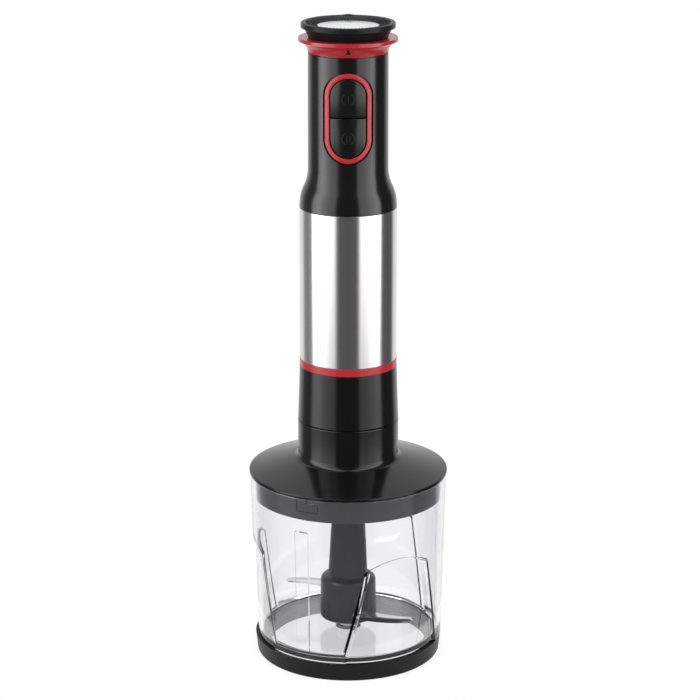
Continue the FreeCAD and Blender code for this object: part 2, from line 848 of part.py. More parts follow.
def bowl_blank():
    """The plain bowl: foot spigot, the floor's rim, and the leaning wall with the bayonet's channels."""
    body = new_body("bowl_blank")
    turned(body, "bowl_section", [[
        Corner(s.floor_radius, floor_under),
        Corner(foot_spigot_inner, floor_under),
        Corner(foot_spigot_inner, s.foot_base),
        Corner(s.foot_spigot_radius, s.foot_base),
        Corner(s.foot_spigot_radius, s.foot_height),
        Corner(s.bowl_base_radius, s.foot_height),
        Corner(s.bowl_rim_radius, s.bowl_rim_height, rounding=s.bowl_wall / 3),
        Corner(s.bowl_rim_radius - s.bowl_wall, s.bowl_rim_height, rounding=s.bowl_wall / 3),
        Corner(s.bowl_base_radius - s.bowl_wall, s.floor_height, rounding=s.floor_round),
        Corner(s.floor_radius, s.floor_height),
    ]])
    inner = wall_radius(s.channel_floor) - s.bowl_wall - 1
    outer = wall_radius(s.channel_floor) - s.bowl_wall + s.channel_depth
    first = s.bayonet_turn - s.channel_half_angle
    last = s.bayonet_turn + s.channel_half_angle
    channel = cut_away(body, "bayonet_channel", [sector(inner, outer, first, last)],
                       s.channel_floor, s.bowl_rim_height - s.channel_floor + 1)
    repeated(body, channel, s.wall_pattern_count)
    pocket = cut_away(body, "bayonet_pocket", [sector(inner, outer, last - 1, first + s.pocket_angle + 3)],
                      s.channel_floor, s.pocket_height)
    repeated(body, pocket, s.wall_pattern_count)
    return body


def dent_prisms(name, margin):
    """Three prisms that look out of the bowl's axis through the dents, as large as the margin says."""
    body = new_body(name)
    low = s.foot_height - 2
    prism = raised(body, name + "_front", [[
        Corner(-(s.dent_base_half + margin), low),
        Corner(s.dent_base_half + margin, low),
        Corner(s.dent_top_half + margin, s.dent_shoulder_height),
        Corner(-(s.dent_top_half + margin), s.dent_shoulder_height, arc=s.dent_arch_radius),
    ]], 0, s.bowl_rim_radius + 4, plane="XZ_Plane")
    repeated(body, prism, s.wall_pattern_count)
    body.Placement = FreeCAD.Placement(FreeCAD.Vector(), FreeCAD.Rotation(FreeCAD.Vector(0, 0, 1), 1))
    body.setExpression("Placement.Rotation.Angle", s.dent_turn.text)
    return body


def wall_band(name, inner, outer, low):
    """A band that leans as the wall does, between two offsets from the wall's outer face."""
    body = new_body(name)
    turned(body, name + "_section", [[
        Corner(wall_radius(low) + inner, low),
        Corner(wall_radius(low) + outer, low),
        Corner(wall_radius(s.bowl_rim_height) + outer, s.bowl_rim_height),
        Corner(wall_radius(s.bowl_rim_height) + inner, s.bowl_rim_height),
    ]])
    return body


def scale_strip():
    body = new_body("scale_strip_body")
    low = s.floor_height + s.strip_foot_gap
    turned(body, "scale_strip_section", [[
        Corner(wall_radius(low) - 1, low),
        Corner(wall_radius(low) + s.strip_proud, low),
        Corner(wall_radius(s.strip_top) + s.strip_proud, s.strip_top),
        Corner(wall_radius(s.strip_top) - 1, s.strip_top),
    ]], angle=s.strip_angle)
    body.Placement = FreeCAD.Placement(FreeCAD.Vector(), FreeCAD.Rotation(FreeCAD.Vector(0, 0, 1), 1))
    body.setExpression("Placement.Rotation.Angle", (s.strip_turn + 270).text)
    return body


def bowl():
    """The clear bowl: three dents are pushed in from outside, and the wall bulges inwards behind them."""
    depth = -s.dent_depth
    skin = wall_band("dent_band", depth, s.dent_depth + 2, s.foot_height)
    hollow = joined("Common", "dent_hollows", skin, dent_prisms("dent_prisms", size(0)))
    inside = wall_band("bulge_band", depth - s.bowl_wall, depth, s.foot_height)
    bulge = joined("Common", "bulges", inside, dent_prisms("bulge_prisms", s.dent_margin))
    dented = joined("Cut", "dented_bowl", bowl_blank(), hollow)
    backed = joined("Fuse", "backed_bowl", dented, bulge)
    return joined("Fuse", "whole_bowl", backed, scale_strip())


def bowl_pin():
    body = new_body("bowl_pin_body")
    turned(body, "pin_section", [[
        Corner(0, pin_bottom),
        Corner(s.pin_radius, pin_bottom),
        Corner(s.pin_radius, s.pin_top, rounding=s.pin_radius / 2),
        Corner(0, s.pin_top),
    ]])
    return body


# ---- blade set ---------------------------------------------------------------------------------------

def slot_for_blade(body, name, height, turn):
    """The flat pocket in the hub that one blade's root is moulded into."""
    half = s.blade_root_width / 2 + s.snug_gap
    inner = s.blade_root_radius - s.snug_gap
    outer = s.hub_base_radius + 2
    corners = []
    for side, depth in ((-1, inner), (1, inner), (1, outer), (-1, outer)):
        x = side * half * cosine(turn) + depth * sine(turn)
        y = side * half * sine(turn) - depth * cosine(turn)
        corners.append(Corner(x, y))
    cut_away(body, name, [corners], height - s.snug_gap, s.blade_thickness + 2 * s.snug_gap)


def blade_hub():
    body = new_body("blade_hub_body")
    bore = s.pin_radius + s.running_gap
    turned(body, "hub_section", [[
        Corner(bore, s.hub_bottom),
        Corner(s.hub_base_radius, s.hub_bottom, rounding=s.hub_edge_round),
        Corner(s.hub_top_radius, s.hub_shoulder, rounding=s.hub_shoulder_round),
        Corner(s.stem_foot_radius, s.stem_foot_height),
        Corner(s.stem_mid_radius, s.stem_mid_height),
        Corner(s.stem_top_radius, s.stem_top),
        Corner(0, s.stem_top),
        Corner(0, s.pin_top + s.pin_end_gap),
        Corner(bore, s.pin_top + s.pin_end_gap),
    ]])
    raised(body, "drive_spigot", [hexagon(s.spigot_flats)], s.stem_top, s.spigot_top - s.stem_top)
    slot_for_blade(body, "lower_slot", s.lower_blade_height, s.lower_blade_turn)
    slot_for_blade(body, "upper_slot", s.upper_blade_height, s.upper_blade_turn)
    return body


def blade_outline(grind):
    """The sickle seen from above; the leading edge steps back by grind on the upper face."""
    half = s.blade_root_width / 2
    knee = s.hub_base_radius + s.blade_knee
    heel = knee + s.blade_grind
    tip = s.blade_tip_radius
    inner = tip * s.blade_back_ratio
    return [
        Corner(-half, -s.blade_root_radius),
        Corner(-half, -knee),
        Corner(grind - half, -heel),
        around(tip - grind, s.blade_sweep, arc=tip, centre="left"),
        around(tip - s.blade_grind * 2, s.blade_sweep + s.blade_tip_angle),
        Corner(half, -knee, arc=inner, centre="right"),
        Corner(half, -s.blade_root_radius),
    ]


def blade(name, height, turn):
    """A curved blade: a straight root, then a sickle ground to an edge on its round, leading side."""
    body = new_body(name + "_body")
    lower = new_sketch(body, name + "_lower_face", "XY_Plane")
    fill(lower, [blade_outline(size(0))])
    upper = new_sketch(body, name + "_upper_face", "XY_Plane", s.blade_thickness)
    fill(upper, [blade_outline(s.blade_grind)])
    loft = body.newObject("PartDesign::AdditiveLoft", name + "_loft")
    loft.Profile = lower
    loft.Sections = [upper]
    loft.Ruled = True
    body.Tip = loft
    doc.recompute()
    body.Placement = FreeCAD.Placement(FreeCAD.Vector(), FreeCAD.Rotation(FreeCAD.Vector(0, 0, 1), 1))
    body.setExpression("Placement.Rotation.Angle", turn.text)
    body.setExpression("Placement.Base.z", height.text)
    return body


# ---- lid and planetary gearbox -----------------------------------------------------------------------

ring_teeth = s.sun_teeth + 2 * s.planet_teeth


def lid_shell():
    """Lid, neck, skirt and gearbox seat in one moulding."""
    body = new_body("lid_shell_body")
    top_slope = (s.flare_foot_height - s.lid_under - s.lid_edge) / (s.lid_radius - s.flare_foot_radius)
    skirt_inner = s.skirt_radius - s.skirt_wall
    ceiling = s.lid_under + s.lid_edge + top_slope * (s.lid_radius - skirt_inner) - s.lid_wall
    tube = s.output_boss_radius + s.bearing_tube_wall
    turned(body, "lid_section", [[
        Corner(s.lid_radius, s.lid_under),
        Corner(s.lid_radius, s.lid_under + s.lid_edge, rounding=s.lid_edge_round),
        Corner(s.flare_foot_radius, s.flare_foot_height),
        Corner(s.neck_radius, s.flare_top_height, arc=s.flare_radius, centre="right"),
        Corner(s.neck_radius, s.neck_top, rounding=s.joint_edge_round),
        Corner(s.neck_inner, s.neck_top),
        Corner(s.neck_inner, s.gear_shelf),
        Corner(s.carrier_room_radius, s.gear_shelf),
        Corner(s.carrier_room_radius, s.gearbox_floor),
        Corner(s.boss_bore, s.gearbox_floor),
        Corner(s.boss_bore, s.bearing_tube_bottom + s.shaft_seal_height),
        Corner(s.boss_bore + s.shaft_seal_width, s.bearing_tube_bottom + s.shaft_seal_height),
        Corner(s.boss_bore + s.shaft_seal_width, s.bearing_tube_bottom),
        Corner(tube, s.bearing_tube_bottom),
        Corner(tube, s.gearbox_floor - s.lid_wall),
        Corner(s.carrier_room_radius + s.lid_wall, s.gearbox_floor - s.lid_wall),
        Corner(s.neck_radius + 1, s.flare_foot_height - s.lid_wall),
        Corner(skirt_inner, ceiling),
        Corner(skirt_inner, s.skirt_bottom),
        Corner(s.skirt_radius, s.skirt_bottom),
        Corner(s.skirt_radius, s.lid_under),
    ]])
    lug_tip = wall_radius(s.channel_floor) - s.bowl_wall + s.channel_depth - s.lug_play
    lug = raised(body, "bayonet_lug", [sector(s.skirt_radius - 1, lug_tip,
                                              s.bayonet_turn - s.lug_half_angle,
                                              s.bayonet_turn + s.lug_half_angle)],
                 s.channel_floor + (s.pocket_height - s.lug_height) / 2, s.lug_height)
    repeated(body, lug, s.wall_pattern_count)
    return body


def shaft_seal():
    body = new_body("shaft_seal_body")
    inner = s.boss_bore
    outer = s.boss_bore + s.shaft_seal_width - s.snug_gap
    lip = s.bearing_tube_bottom + s.shaft_seal_height / 2
    turned(body, "seal_section", [[
        Corner(inner + s.shaft_seal_lip, s.bearing_tube_bottom),
        Corner(outer, s.bearing_tube_bottom),
        Corner(outer, s.bearing_tube_bottom + s.shaft_seal_height),
        Corner(inner, s.bearing_tube_bottom + s.shaft_seal_height),
        Corner(inner, lip),
    ]])
    return body


def involute(angle):
    return math.tan(angle) - angle


def gear_face(teeth, tip, base_of_teeth, extra):
    """A toothed outline: 20 degree involute flanks as arcs through three of their points."""
    pitch = s.gear_module.value * teeth / 2
    pressure = math.radians(20)
    base = pitch * math.cos(pressure)
    quarter = math.pi / (2 * teeth) + extra / (2 * pitch)

    def half_angle(radius):
        flank = math.acos(base / max(radius, base))
        return quarter + involute(pressure) - involute(flank)

    def spot(radius, angle):
        return FreeCAD.Vector(radius * math.cos(angle), radius * math.sin(angle), 0)

    edges = []
    middle = (tip + base_of_teeth) / 2
    for tooth in range(teeth):
        axis = 2 * math.pi * tooth / teeth
        after = axis + 2 * math.pi / teeth
        up = [spot(r, axis - half_angle(r)) for r in (base_of_teeth, middle, tip)]
        down = [spot(r, axis + half_angle(r)) for r in (tip, middle, base_of_teeth)]
        next_root = spot(base_of_teeth, after - half_angle(base_of_teeth))
        edges.append(Part.Arc(*up).toShape())
        edges.append(Part.Arc(up[2], spot(tip, axis), down[0]).toShape())
        edges.append(Part.Arc(*down).toShape())
        edges.append(Part.Arc(down[2], spot(base_of_teeth, axis + math.pi / teeth), next_root).toShape())
    return Part.Face(Part.Wire(edges))


def toothed_prism(name, face, bottom, length, turn=0.0, offset=0.0):
    """The one shape drawn by formula: a spur gear's prism, turned to mesh and moved off the axis."""
    prism = face.extrude(FreeCAD.Vector(0, 0, length))
    feature = doc.addObject("Part::Feature", name)
    feature.Shape = prism
    spin = FreeCAD.Rotation(FreeCAD.Vector(0, 0, 1), turn)
    feature.Placement = FreeCAD.Placement(FreeCAD.Vector(offset, 0, bottom), spin)
    return feature


def external_face(teeth):
    pitch = s.gear_module.value * teeth / 2
    module = s.gear_module.value
    return gear_face(teeth, pitch + s.addendum.value * module, pitch - s.dedendum.value * module,
                     -s.backlash.value / 2)


def ring_gear():
    """Internal teeth, cut from a plain ring by a toothed prism with room for the planets' tips."""
    teeth = int(ring_teeth.value)
    pitch = s.gear_module.value * teeth / 2
    module = s.gear_module.value
    face = gear_face(teeth, pitch + s.dedendum.value * module, pitch - s.addendum.value * module,
                     s.backlash.value / 2)
    cutter = toothed_prism("ring_cutter", face, s.gear_shelf.value - 1, s.gear_height.value + 2)
    body = new_body("ring_gear_blank")
    turned(body, "ring_gear_section", [ring(s.sun_pitch_radius, s.neck_inner - s.snug_gap, s.gear_shelf,
                                            s.cover_bottom)])
    hole = cut_away(body, "ring_screw_hole", [(*polar(s.cover_screw_circle, s.cover_screw_turn),
                                               s.cover_screw_radius + s.snug_gap)],
                    s.gear_shelf, s.gear_height)
    repeated(body, hole, s.cover_screw_count)
    return joined("Cut", "ring_gear_cut", body, cutter)


def sun_gear():
    """Sun gear with the socket that the motor's hexagon drops into, and a journal in the carrier."""
    body = new_body("sun_hub")
    turned(body, "sun_hub_section", [[
        Corner(0, s.gears_bottom - s.sun_journal_length),
        Corner(s.sun_journal_radius, s.gears_bottom - s.sun_journal_length),
        Corner(s.sun_journal_radius, s.gears_top + s.gear_end_gap / 2),
        Corner(s.sun_socket_radius, s.gears_top + s.gear_end_gap / 2),
        Corner(s.sun_socket_radius, s.sun_socket_top, rounding=s.edge_round),
        Corner(0, s.sun_socket_top),
    ]])
    cut_away(body, "sun_socket", [hexagon(s.coupling_flats + 2 * s.socket_play)], s.sun_socket_floor,
             s.sun_socket_top - s.sun_socket_floor)
    teeth = toothed_prism("sun_teeth_prism", external_face(int(s.sun_teeth.value)), s.gears_bottom.value,
                          (s.gears_top - s.gears_bottom + s.gear_end_gap / 2).value)
    return joined("Fuse", "sun_gear_whole", body, teeth)


def planet_gear(index):
    """One planet, at its place on the carrier, turned so that it meshes with the sun and the ring."""
    count = int(s.planet_count.value)
    teeth = int(s.planet_teeth.value)
    sun_pitch = 360 / s.sun_teeth.value
    place = 360.0 * index / count
    off_tooth = place - sun_pitch * round(place / sun_pitch)
    turn = 180 + off_tooth * s.sun_teeth.value / teeth + 180 / teeth
    prism = toothed_prism(f"planet_prism_{index + 1}", external_face(teeth), s.gears_bottom.value,
                          (s.gears_top - s.gears_bottom).value, turn, s.centre_distance.value)
    bore = doc.addObject("Part::Cylinder", f"planet_bore_{index + 1}")
    bore.setExpression("Radius", (s.planet_pin_radius + s.running_gap).text)
    bore.setExpression("Height", (s.gear_height + 2).text)
    bore.setExpression("Placement.Base.x", s.centre_distance.text)
    bore.setExpression("Placement.Base.z", (s.gears_bottom - 1).text)
    gear = joined("Cut", f"planet_cut_{index + 1}", prism, bore)
    gear.Placement = FreeCAD.Placement(FreeCAD.Vector(), FreeCAD.Rotation(FreeCAD.Vector(0, 0, 1), place))
    return gear


def planet_carrier():
    """The slow member: a disc with three pin holes, on a hollow boss that turns in the lid."""
    body = new_body("planet_carrier_body")
    journal = s.sun_journal_radius + s.running_gap
    journal_floor = s.gears_bottom - s.sun_journal_length - s.loose_gap
    turned(body, "carrier_section", [[
        Corner(0, s.output_boss_bottom),
        Corner(s.output_boss_radius, s.output_boss_bottom),
        Corner(s.output_boss_radius, s.carrier_bottom),
        Corner(s.carrier_radius, s.carrier_bottom),
        Corner(s.carrier_radius, s.carrier_top),
        Corner(journal, s.carrier_top),
        Corner(journal, journal_floor),
        Corner(0, journal_floor),
    ]])
    cut_away(body, "output_socket", [hexagon(s.spigot_flats + 2 * s.socket_play)], s.output_boss_bottom,
             s.output_socket_depth)
    hole = cut_away(body, "planet_pin_hole", [(s.centre_distance, 0, s.planet_pin_radius + s.snug_gap)],
                    s.carrier_bottom + 1, s.carrier_thickness)
    repeated(body, hole, s.planet_count)
    return body


def planet_pins():
    body = new_body("planet_pins_body")
    bottom = s.carrier_bottom + 1
    pin = raised(body, "planet_pin", [(s.centre_distance, 0, s.planet_pin_radius)], bottom,
                 s.cover_bottom - s.loose_gap - bottom)
    repeated(body, pin, s.planet_count)
    return body


def gearbox_cover():
    body = new_body("gearbox_cover_body")
    turned(body, "cover_section", [ring(s.sun_socket_radius + s.cover_hole_gap, s.neck_inner - s.snug_gap,
                                        s.cover_bottom, s.cover_top)])
    hole = cut_away(body, "cover_screw_hole", [(*polar(s.cover_screw_circle, s.cover_screw_turn),
                                                s.cover_screw_radius + s.snug_gap)],
                    s.cover_bottom, s.cover_thickness)
    repeated(body, hole, s.cover_screw_count)
    return body


def cover_screws():
    body = new_body("cover_screws_body")
    x, y = polar(s.cover_screw_circle, s.cover_screw_turn)
    bottom = s.gear_shelf + s.cover_screw_sink
    shank = raised(body, "screw_shank", [(x, y, s.cover_screw_radius)], bottom, s.cover_top - bottom)
    repeated(body, shank, s.cover_screw_count)
    head = raised(body, "screw_head", [(x, y, s.screw_head_radius)], s.cover_top, s.screw_head_height)
    repeated(body, head, s.cover_screw_count)
    return body


# ---- motor unit: casing ------------------------------------------------------------------------------

def lower_housing():
    """The black nose of the motor unit; its lower end drops into the lid's neck."""
    body = new_body("lower_housing_body")
    floor = s.motor_spigot_bottom + s.motor_spigot_floor
    spigot_bore = s.motor_spigot_radius - s.motor_spigot_wall
    turned(body, "lower_housing_section", [[
        Corner(s.coupling_opening, s.motor_spigot_bottom),
        Corner(s.motor_spigot_radius, s.motor_spigot_bottom, rounding=s.edge_round),
        Corner(s.motor_spigot_radius, s.housing_bottom),
        Corner(s.housing_foot_radius, s.housing_bottom, rounding=s.joint_edge_round),
        Corner(s.housing_mid_radius, s.housing_mid_height),
        Corner(s.housing_top_radius, s.housing_top),
        Corner(s.spigot_outer, s.housing_top),
        Corner(s.spigot_outer, s.accent_top + s.spigot_reach),
        Corner(s.spigot_inner, s.accent_top + s.spigot_reach),
        Corner(s.spigot_inner, s.housing_top - s.housing_wall),
        Corner(s.housing_mid_radius - s.housing_wall, s.housing_top - 3 * s.housing_wall),
        Corner(s.housing_mid_radius - s.housing_wall, s.housing_bottom + 2 * s.housing_wall),
        Corner(spigot_bore, s.housing_bottom),
        Corner(spigot_bore, floor),
        Corner(s.coupling_opening, floor),
    ]])
    return body


def accent_ring():
    body = new_body("accent_ring_body")
    outer = s.sleeve_radius + s.accent_proud
    turned(body, "accent_section", [[
        Corner(s.spigot_outer + s.snug_gap, s.housing_top),
        Corner(outer, s.housing_top, rounding=s.accent_proud),
        Corner(outer, s.accent_top, rounding=s.accent_proud),
        Corner(s.spigot_outer + s.snug_gap, s.accent_top),
    ]])
    return body


def metal_sleeve():
    body = new_body("metal_sleeve_body")
    turned(body, "sleeve_section", [ring(s.sleeve_inner, s.sleeve_radius, s.accent_top, s.sleeve_top)])
    return body


def motor_barrel():
    body = new_body("motor_barrel_body")
    turned(body, "barrel_section", [ring(s.barrel_inner, s.barrel_outer, s.accent_top, s.sleeve_top)])
    return body


def front_window(half, bottom, top, gap):
    return stadium(half + gap, bottom - gap, top + gap)


def grip_housing():
    """Shoulder and grip, with the window for the buttons and the flat seat of the cord gland."""
    body = new_body("grip_housing_body")
    plug_bottom = s.sleeve_top - s.grip_plug_length
    turned(body, "grip_section", [[
        Corner(s.spigot_inner, plug_bottom),
        Corner(s.spigot_outer, plug_bottom),
        Corner(s.spigot_outer, s.sleeve_top),
        Corner(s.sleeve_radius, s.sleeve_top),
        Corner(s.grip_foot_radius, s.grip_foot_height),
        Corner(s.grip_bend_radius, s.grip_bend_height, arc=s.shoulder_radius),
        Corner(s.grip_waist_radius, s.grip_waist_height, arc=s.shoulder_radius, centre="right"),
        Corner(s.grip_top_radius, s.grip_top),
        Corner(s.grip_inner, s.grip_top),
        Corner(s.grip_inner, s.grip_waist_height - s.shoulder_wall_step),
        Corner(s.spigot_inner, s.sleeve_top + s.shoulder_wall_step),
    ]])
    raised(body, "gland_boss", [(0, s.gland_height, s.gland_boss_radius)], -s.gland_seat,
           s.gland_seat - s.grip_inner + s.grip_wall / 4, plane="XZ_Plane")
    cut_away(body, "gland_hole", [(0, s.gland_height, s.gland_neck + s.snug_gap)], -s.gland_seat,
             s.gland_seat - s.grip_inner + s.grip_wall, plane="XZ_Plane")
    cut_away(body, "button_window", [front_window(s.bezel_half, s.bezel_bottom, s.bezel_top, s.snug_gap * 2)],
             s.grip_waist_radius / 2, s.grip_waist_radius, plane="XZ_Plane")
    return body


def front_patch(name, inner, outer, bottom, top, keep_outlines):
    """A piece of a tube's front, trimmed to outlines seen from the front."""
    body = new_body(name)
    margin = 4
    turned(body, name + "_tube", [ring(-outer, -inner, bottom - margin, top + margin)],
           angle=130, plane="YZ_Plane")
    frame = box(-2 * outer, 2 * outer, bottom - 2 * margin, top + 2 * margin)
    cut_away(body, name + "_trim", [frame] + keep_outlines, 0, 4 * outer, plane="XZ_Plane", both_ways=True)
    return body


def button_bezel():
    inner_half = s.bezel_half - s.bezel_border
    return front_patch("button_bezel_body", s.bezel_radius - s.bezel_thickness, s.bezel_radius,
                       s.bezel_bottom, s.bezel_top,
                       [stadium(s.bezel_half, s.bezel_bottom, s.bezel_top),
                        stadium(inner_half, s.bezel_bottom + s.bezel_border, s.bezel_top - s.bezel_border)])


def half_stadium(half, end, split, upwards):
    """One button's outline: flat at the split, round at its end."""
    if upwards:
        return [Corner(-half, split), Corner(half, split), Corner(half, end - half),
                Corner(0, end, arc=half), Corner(-half, end - half, arc=half)]
    return [Corner(half, split), Corner(-half, split), Corner(-half, end + half),
            Corner(0, end, arc=half), Corner(half, end + half, arc=half)]


def button(name, end, split, upwards):
    """A curved button with a lip behind the bezel and a stem that presses its switch."""
    half = s.bezel_half - s.bezel_border - s.button_gap
    lip_half = half + s.button_lip
    sign = 1 if upwards else -1
    bottom, top = (split, end) if upwards else (end, split)
    face_inner = s.button_radius - s.button_wall
    face = front_patch(name + "_face", face_inner, s.button_radius, bottom, top,
                       [half_stadium(half, end, split, upwards)])
    lip_end = end + sign * s.button_lip
    lip_bottom, lip_top = (split, lip_end) if upwards else (lip_end, split)
    lip = front_patch(name + "_lip", face_inner - s.button_lip_thickness, face_inner, lip_bottom, lip_top,
                      [half_stadium(lip_half, lip_end, split, upwards)])
    stem_end = s.board_face + s.switch_height + s.plunger_height + s.switch_gap + s.button_travel
    raised(lip, name + "_stem", [(0, button_centre(upwards), s.button_stem_radius)], stem_end,
           face_inner - stem_end - s.button_lip_thickness / 3, plane="XZ_Plane")
    return joined("Fuse", name + "_whole", face, lip)


def button_centre(upwards):
    """The height of a button's middle, where its stem, spring and switch are."""
    end = s.bezel_top - s.bezel_border if upwards else s.bezel_bottom + s.bezel_border
    return (s.button_split + end) / 2


def button_spring(name, upwards):
    """A coil spring round the switch, between the board and the button's lip."""
    body = new_body(name + "_body")
    near = s.board_face + s.spring_wire + s.snug_gap
    seat = s.button_radius - s.button_wall - s.button_lip_thickness
    reach = seat - s.loose_gap - 5 * s.spring_wire - near
    sketch = new_sketch(body, name + "_wire", "XY_Plane")
    fill(sketch, [(s.spring_radius, -near, s.spring_wire)])
    coil = body.newObject("PartDesign::AdditiveHelix", name + "_coil")
    coil.Profile = sketch
    coil.ReferenceAxis = (sketch, ["V_Axis"])
    coil.Mode = "height-turns-angle"
    coil.Height = reach.value
    coil.setExpression("Height", reach.text)
    coil.Turns = s.spring_turns.value
    coil.setExpression("Turns", s.spring_turns.text)
    coil.Reversed = True
    body.Tip = coil
    doc.recompute()
    body.setExpression("Placement.Base.z", button_centre(upwards).text)
    return body


def switch_board():
    body = new_body("switch_board_body")
    half = chord(s.grip_inner, s.board_face) - s.loose_gap
    raised(body, "switch_board_plate", [box(-half, half, s.board_bottom, s.board_top,
                                            s.board_corner_round)],
           s.board_face - s.board_thickness, s.board_thickness, plane="XZ_Plane")
    return body


def switch(name, upwards):
    """A small push switch: square case and a round plunger."""
    body = new_body(name + "_body")
    half = s.switch_width / 2
    height = button_centre(upwards)
    raised(body, name + "_case", [box(-half, half, height - half, height + half, s.edge_round)],
           s.board_face, s.switch_height, plane="XZ_Plane")
    raised(body, name + "_plunger", [(0, height, s.plunger_radius)], s.board_face + s.switch_height,
           s.plunger_height, plane="XZ_Plane")
    return body


def top_collar():
    """The red collar: a cove that flares to a flange, a spigot in the grip, and the pointer."""
    body = new_body("top_collar_body")
    spigot = s.grip_inner - s.snug_gap
    plate_under = s.collar_recess_floor - s.collar_plate
    foot_edge = s.grip_top + s.collar_groove_height
    turned(body, "collar_section", [[
        Corner(spigot - s.collar_spigot_wall, s.collar_spigot_bottom),
        Corner(spigot, s.collar_spigot_bottom),
        Corner(spigot, s.grip_top),
        Corner(s.collar_foot_radius - s.collar_groove_depth, s.grip_top),
        Corner(s.collar_foot_radius - s.collar_groove_depth, foot_edge),
        Corner(s.collar_foot_radius, foot_edge, rounding=s.fine_edge_round),
        Corner(s.collar_foot_radius, s.collar_neck_height),
        Corner(s.collar_cove_radius, s.collar_cove_height, arc=s.collar_cove_arc, centre="right"),
        Corner(s.collar_flange_radius, s.collar_flange_bottom, arc=s.collar_flare_arc, centre="right"),
        Corner(s.collar_flange_radius, s.collar_top, rounding=s.joint_edge_round),
        Corner(s.collar_recess_radius, s.collar_top),
        Corner(s.collar_recess_radius, s.collar_recess_floor),
        Corner(s.potentiometer_bush_radius + s.snug_gap, s.collar_recess_floor),
        Corner(s.potentiometer_bush_radius + s.snug_gap, plate_under),
        Corner(spigot - s.collar_spigot_wall, plate_under),
    ]])
    return body


# ---- speed control -----------------------------------------------------------------------------------

board_top_face = s.control_board_bottom + s.board_thickness


def control_board():
    body = new_body("control_board_body")
    turned(body, "control_board_disc", [ring(0, s.grip_inner - s.loose_gap, s.control_board_bottom,
                                             board_top_face)])
    return body


def potentiometer():
    body = new_body("potentiometer_body")
    case_top = board_top_face + s.potentiometer_height
    turned(body, "potentiometer_section", [[
        Corner(0, board_top_face),
        Corner(s.potentiometer_radius, board_top_face, rounding=s.edge_round),
        Corner(s.potentiometer_radius, case_top, rounding=s.edge_round),
        Corner(s.potentiometer_bush_radius, case_top),
        Corner(s.potentiometer_bush_radius, s.collar_recess_floor),
        Corner(s.dial_shaft_radius, s.collar_recess_floor),
        Corner(s.dial_shaft_radius, s.dial_shaft_top),
        Corner(0, s.dial_shaft_top),
    ]])
    return body


def speed_dial():
    """A flared skirt under a wide rim, a shallow dish, and the hub on the control's shaft."""
    body = new_body("speed_dial_body")
    bore = s.dial_shaft_radius + s.running_gap
    dish_edge = s.dial_radius - s.dial_rim_width
    cap_seat = s.cap_radius + s.snug_gap
    under = s.cap_bottom - s.dial_wall
    turned(body, "dial_section", [[
        Corner(s.dial_foot_radius - s.dial_wall, s.dial_bottom),
        Corner(s.dial_foot_radius, s.dial_bottom, rounding=s.fine_edge_round),
        Corner(s.dial_cone_radius, s.dial_cone_top),
        Corner(s.dial_radius, s.dial_lip_height, rounding=s.fine_edge_round),
        Corner(s.dial_radius, s.dial_top, rounding=s.dial_edge_round),
        Corner(dish_edge, s.dial_top, rounding=s.fine_edge_round),
        Corner(cap_seat, s.dial_top - s.dish_depth),
        Corner(cap_seat, s.cap_bottom),
        Corner(0, s.cap_bottom),
        Corner(0, s.dial_shaft_top + s.snug_gap),
        Corner(bore, s.dial_shaft_top + s.snug_gap),
        Corner(bore, s.dial_bottom),
        Corner(s.dial_hub_radius, s.dial_bottom),
        Corner(s.dial_hub_radius, under),
        Corner(s.dial_cone_radius - s.dial_wall, under),
    ]])
    hump_edge = s.dial_radius - s.dial_hump_inset
    turned(body, "dial_hump", [ring(hump_edge - s.dial_hump_width, hump_edge, s.dial_top - s.dial_hump_height,
                                    s.dial_top + s.dial_hump_height)],
           angle=s.dial_hump_angle, plane="YZ_Plane")
    return body


def dial_cap():
    body = new_body("dial_cap_body")
    turned(body, "dial_cap_section", [[
        Corner(0, s.cap_bottom),
        Corner(s.cap_radius, s.cap_bottom),
        Corner(s.cap_radius, s.cap_bottom + s.cap_thickness - s.cap_crown, rounding=s.fine_edge_round),
        Corner(0, s.cap_bottom + s.cap_thickness),
    ]])
    return body


def cord_gland():
    """The rubber grommet of the cord's inlet, clipped in the grip's back."""
    body = new_body("cord_gland_body")
    inner_face = s.grip_inner - s.gland_clip_drop
    raised(body, "gland_clip", [(0, s.gland_height, s.gland_neck + s.gland_clip)],
           -(inner_face + s.gland_clip_thickness), s.gland_clip_thickness, plane="XZ_Plane")
    raised(body, "gland_neck", [(0, s.gland_height, s.gland_neck)], -s.gland_seat, s.gland_seat - inner_face,
           plane="XZ_Plane")
    raised(body, "gland_flange", [(0, s.gland_height, s.gland_flange)],
           -(s.gland_seat + s.gland_flange_thickness), s.gland_flange_thickness, plane="XZ_Plane")
    cut_away(body, "gland_bore", [(0, s.gland_height, s.gland_bore)], -(s.gland_seat + 4), s.gland_seat,
             plane="XZ_Plane")
    return body


# ---- motor -------------------------------------------------------------------------------------------

lower_plate = s.lower_bearing_bottom + s.bearing_width
upper_plate_top = s.upper_bearing_bottom
upper_plate_bottom = s.upper_bearing_bottom - s.bracket_thickness


def motor_shaft():
    body = new_body("motor_shaft_body")
    turned(body, "shaft_section", [[
        Corner(0, s.shaft_bottom),
        Corner(s.shaft_radius, s.shaft_bottom, rounding=s.edge_round),
        Corner(s.shaft_radius, s.shaft_top, rounding=s.edge_round),
        Corner(0, s.shaft_top),
    ]])
    return body


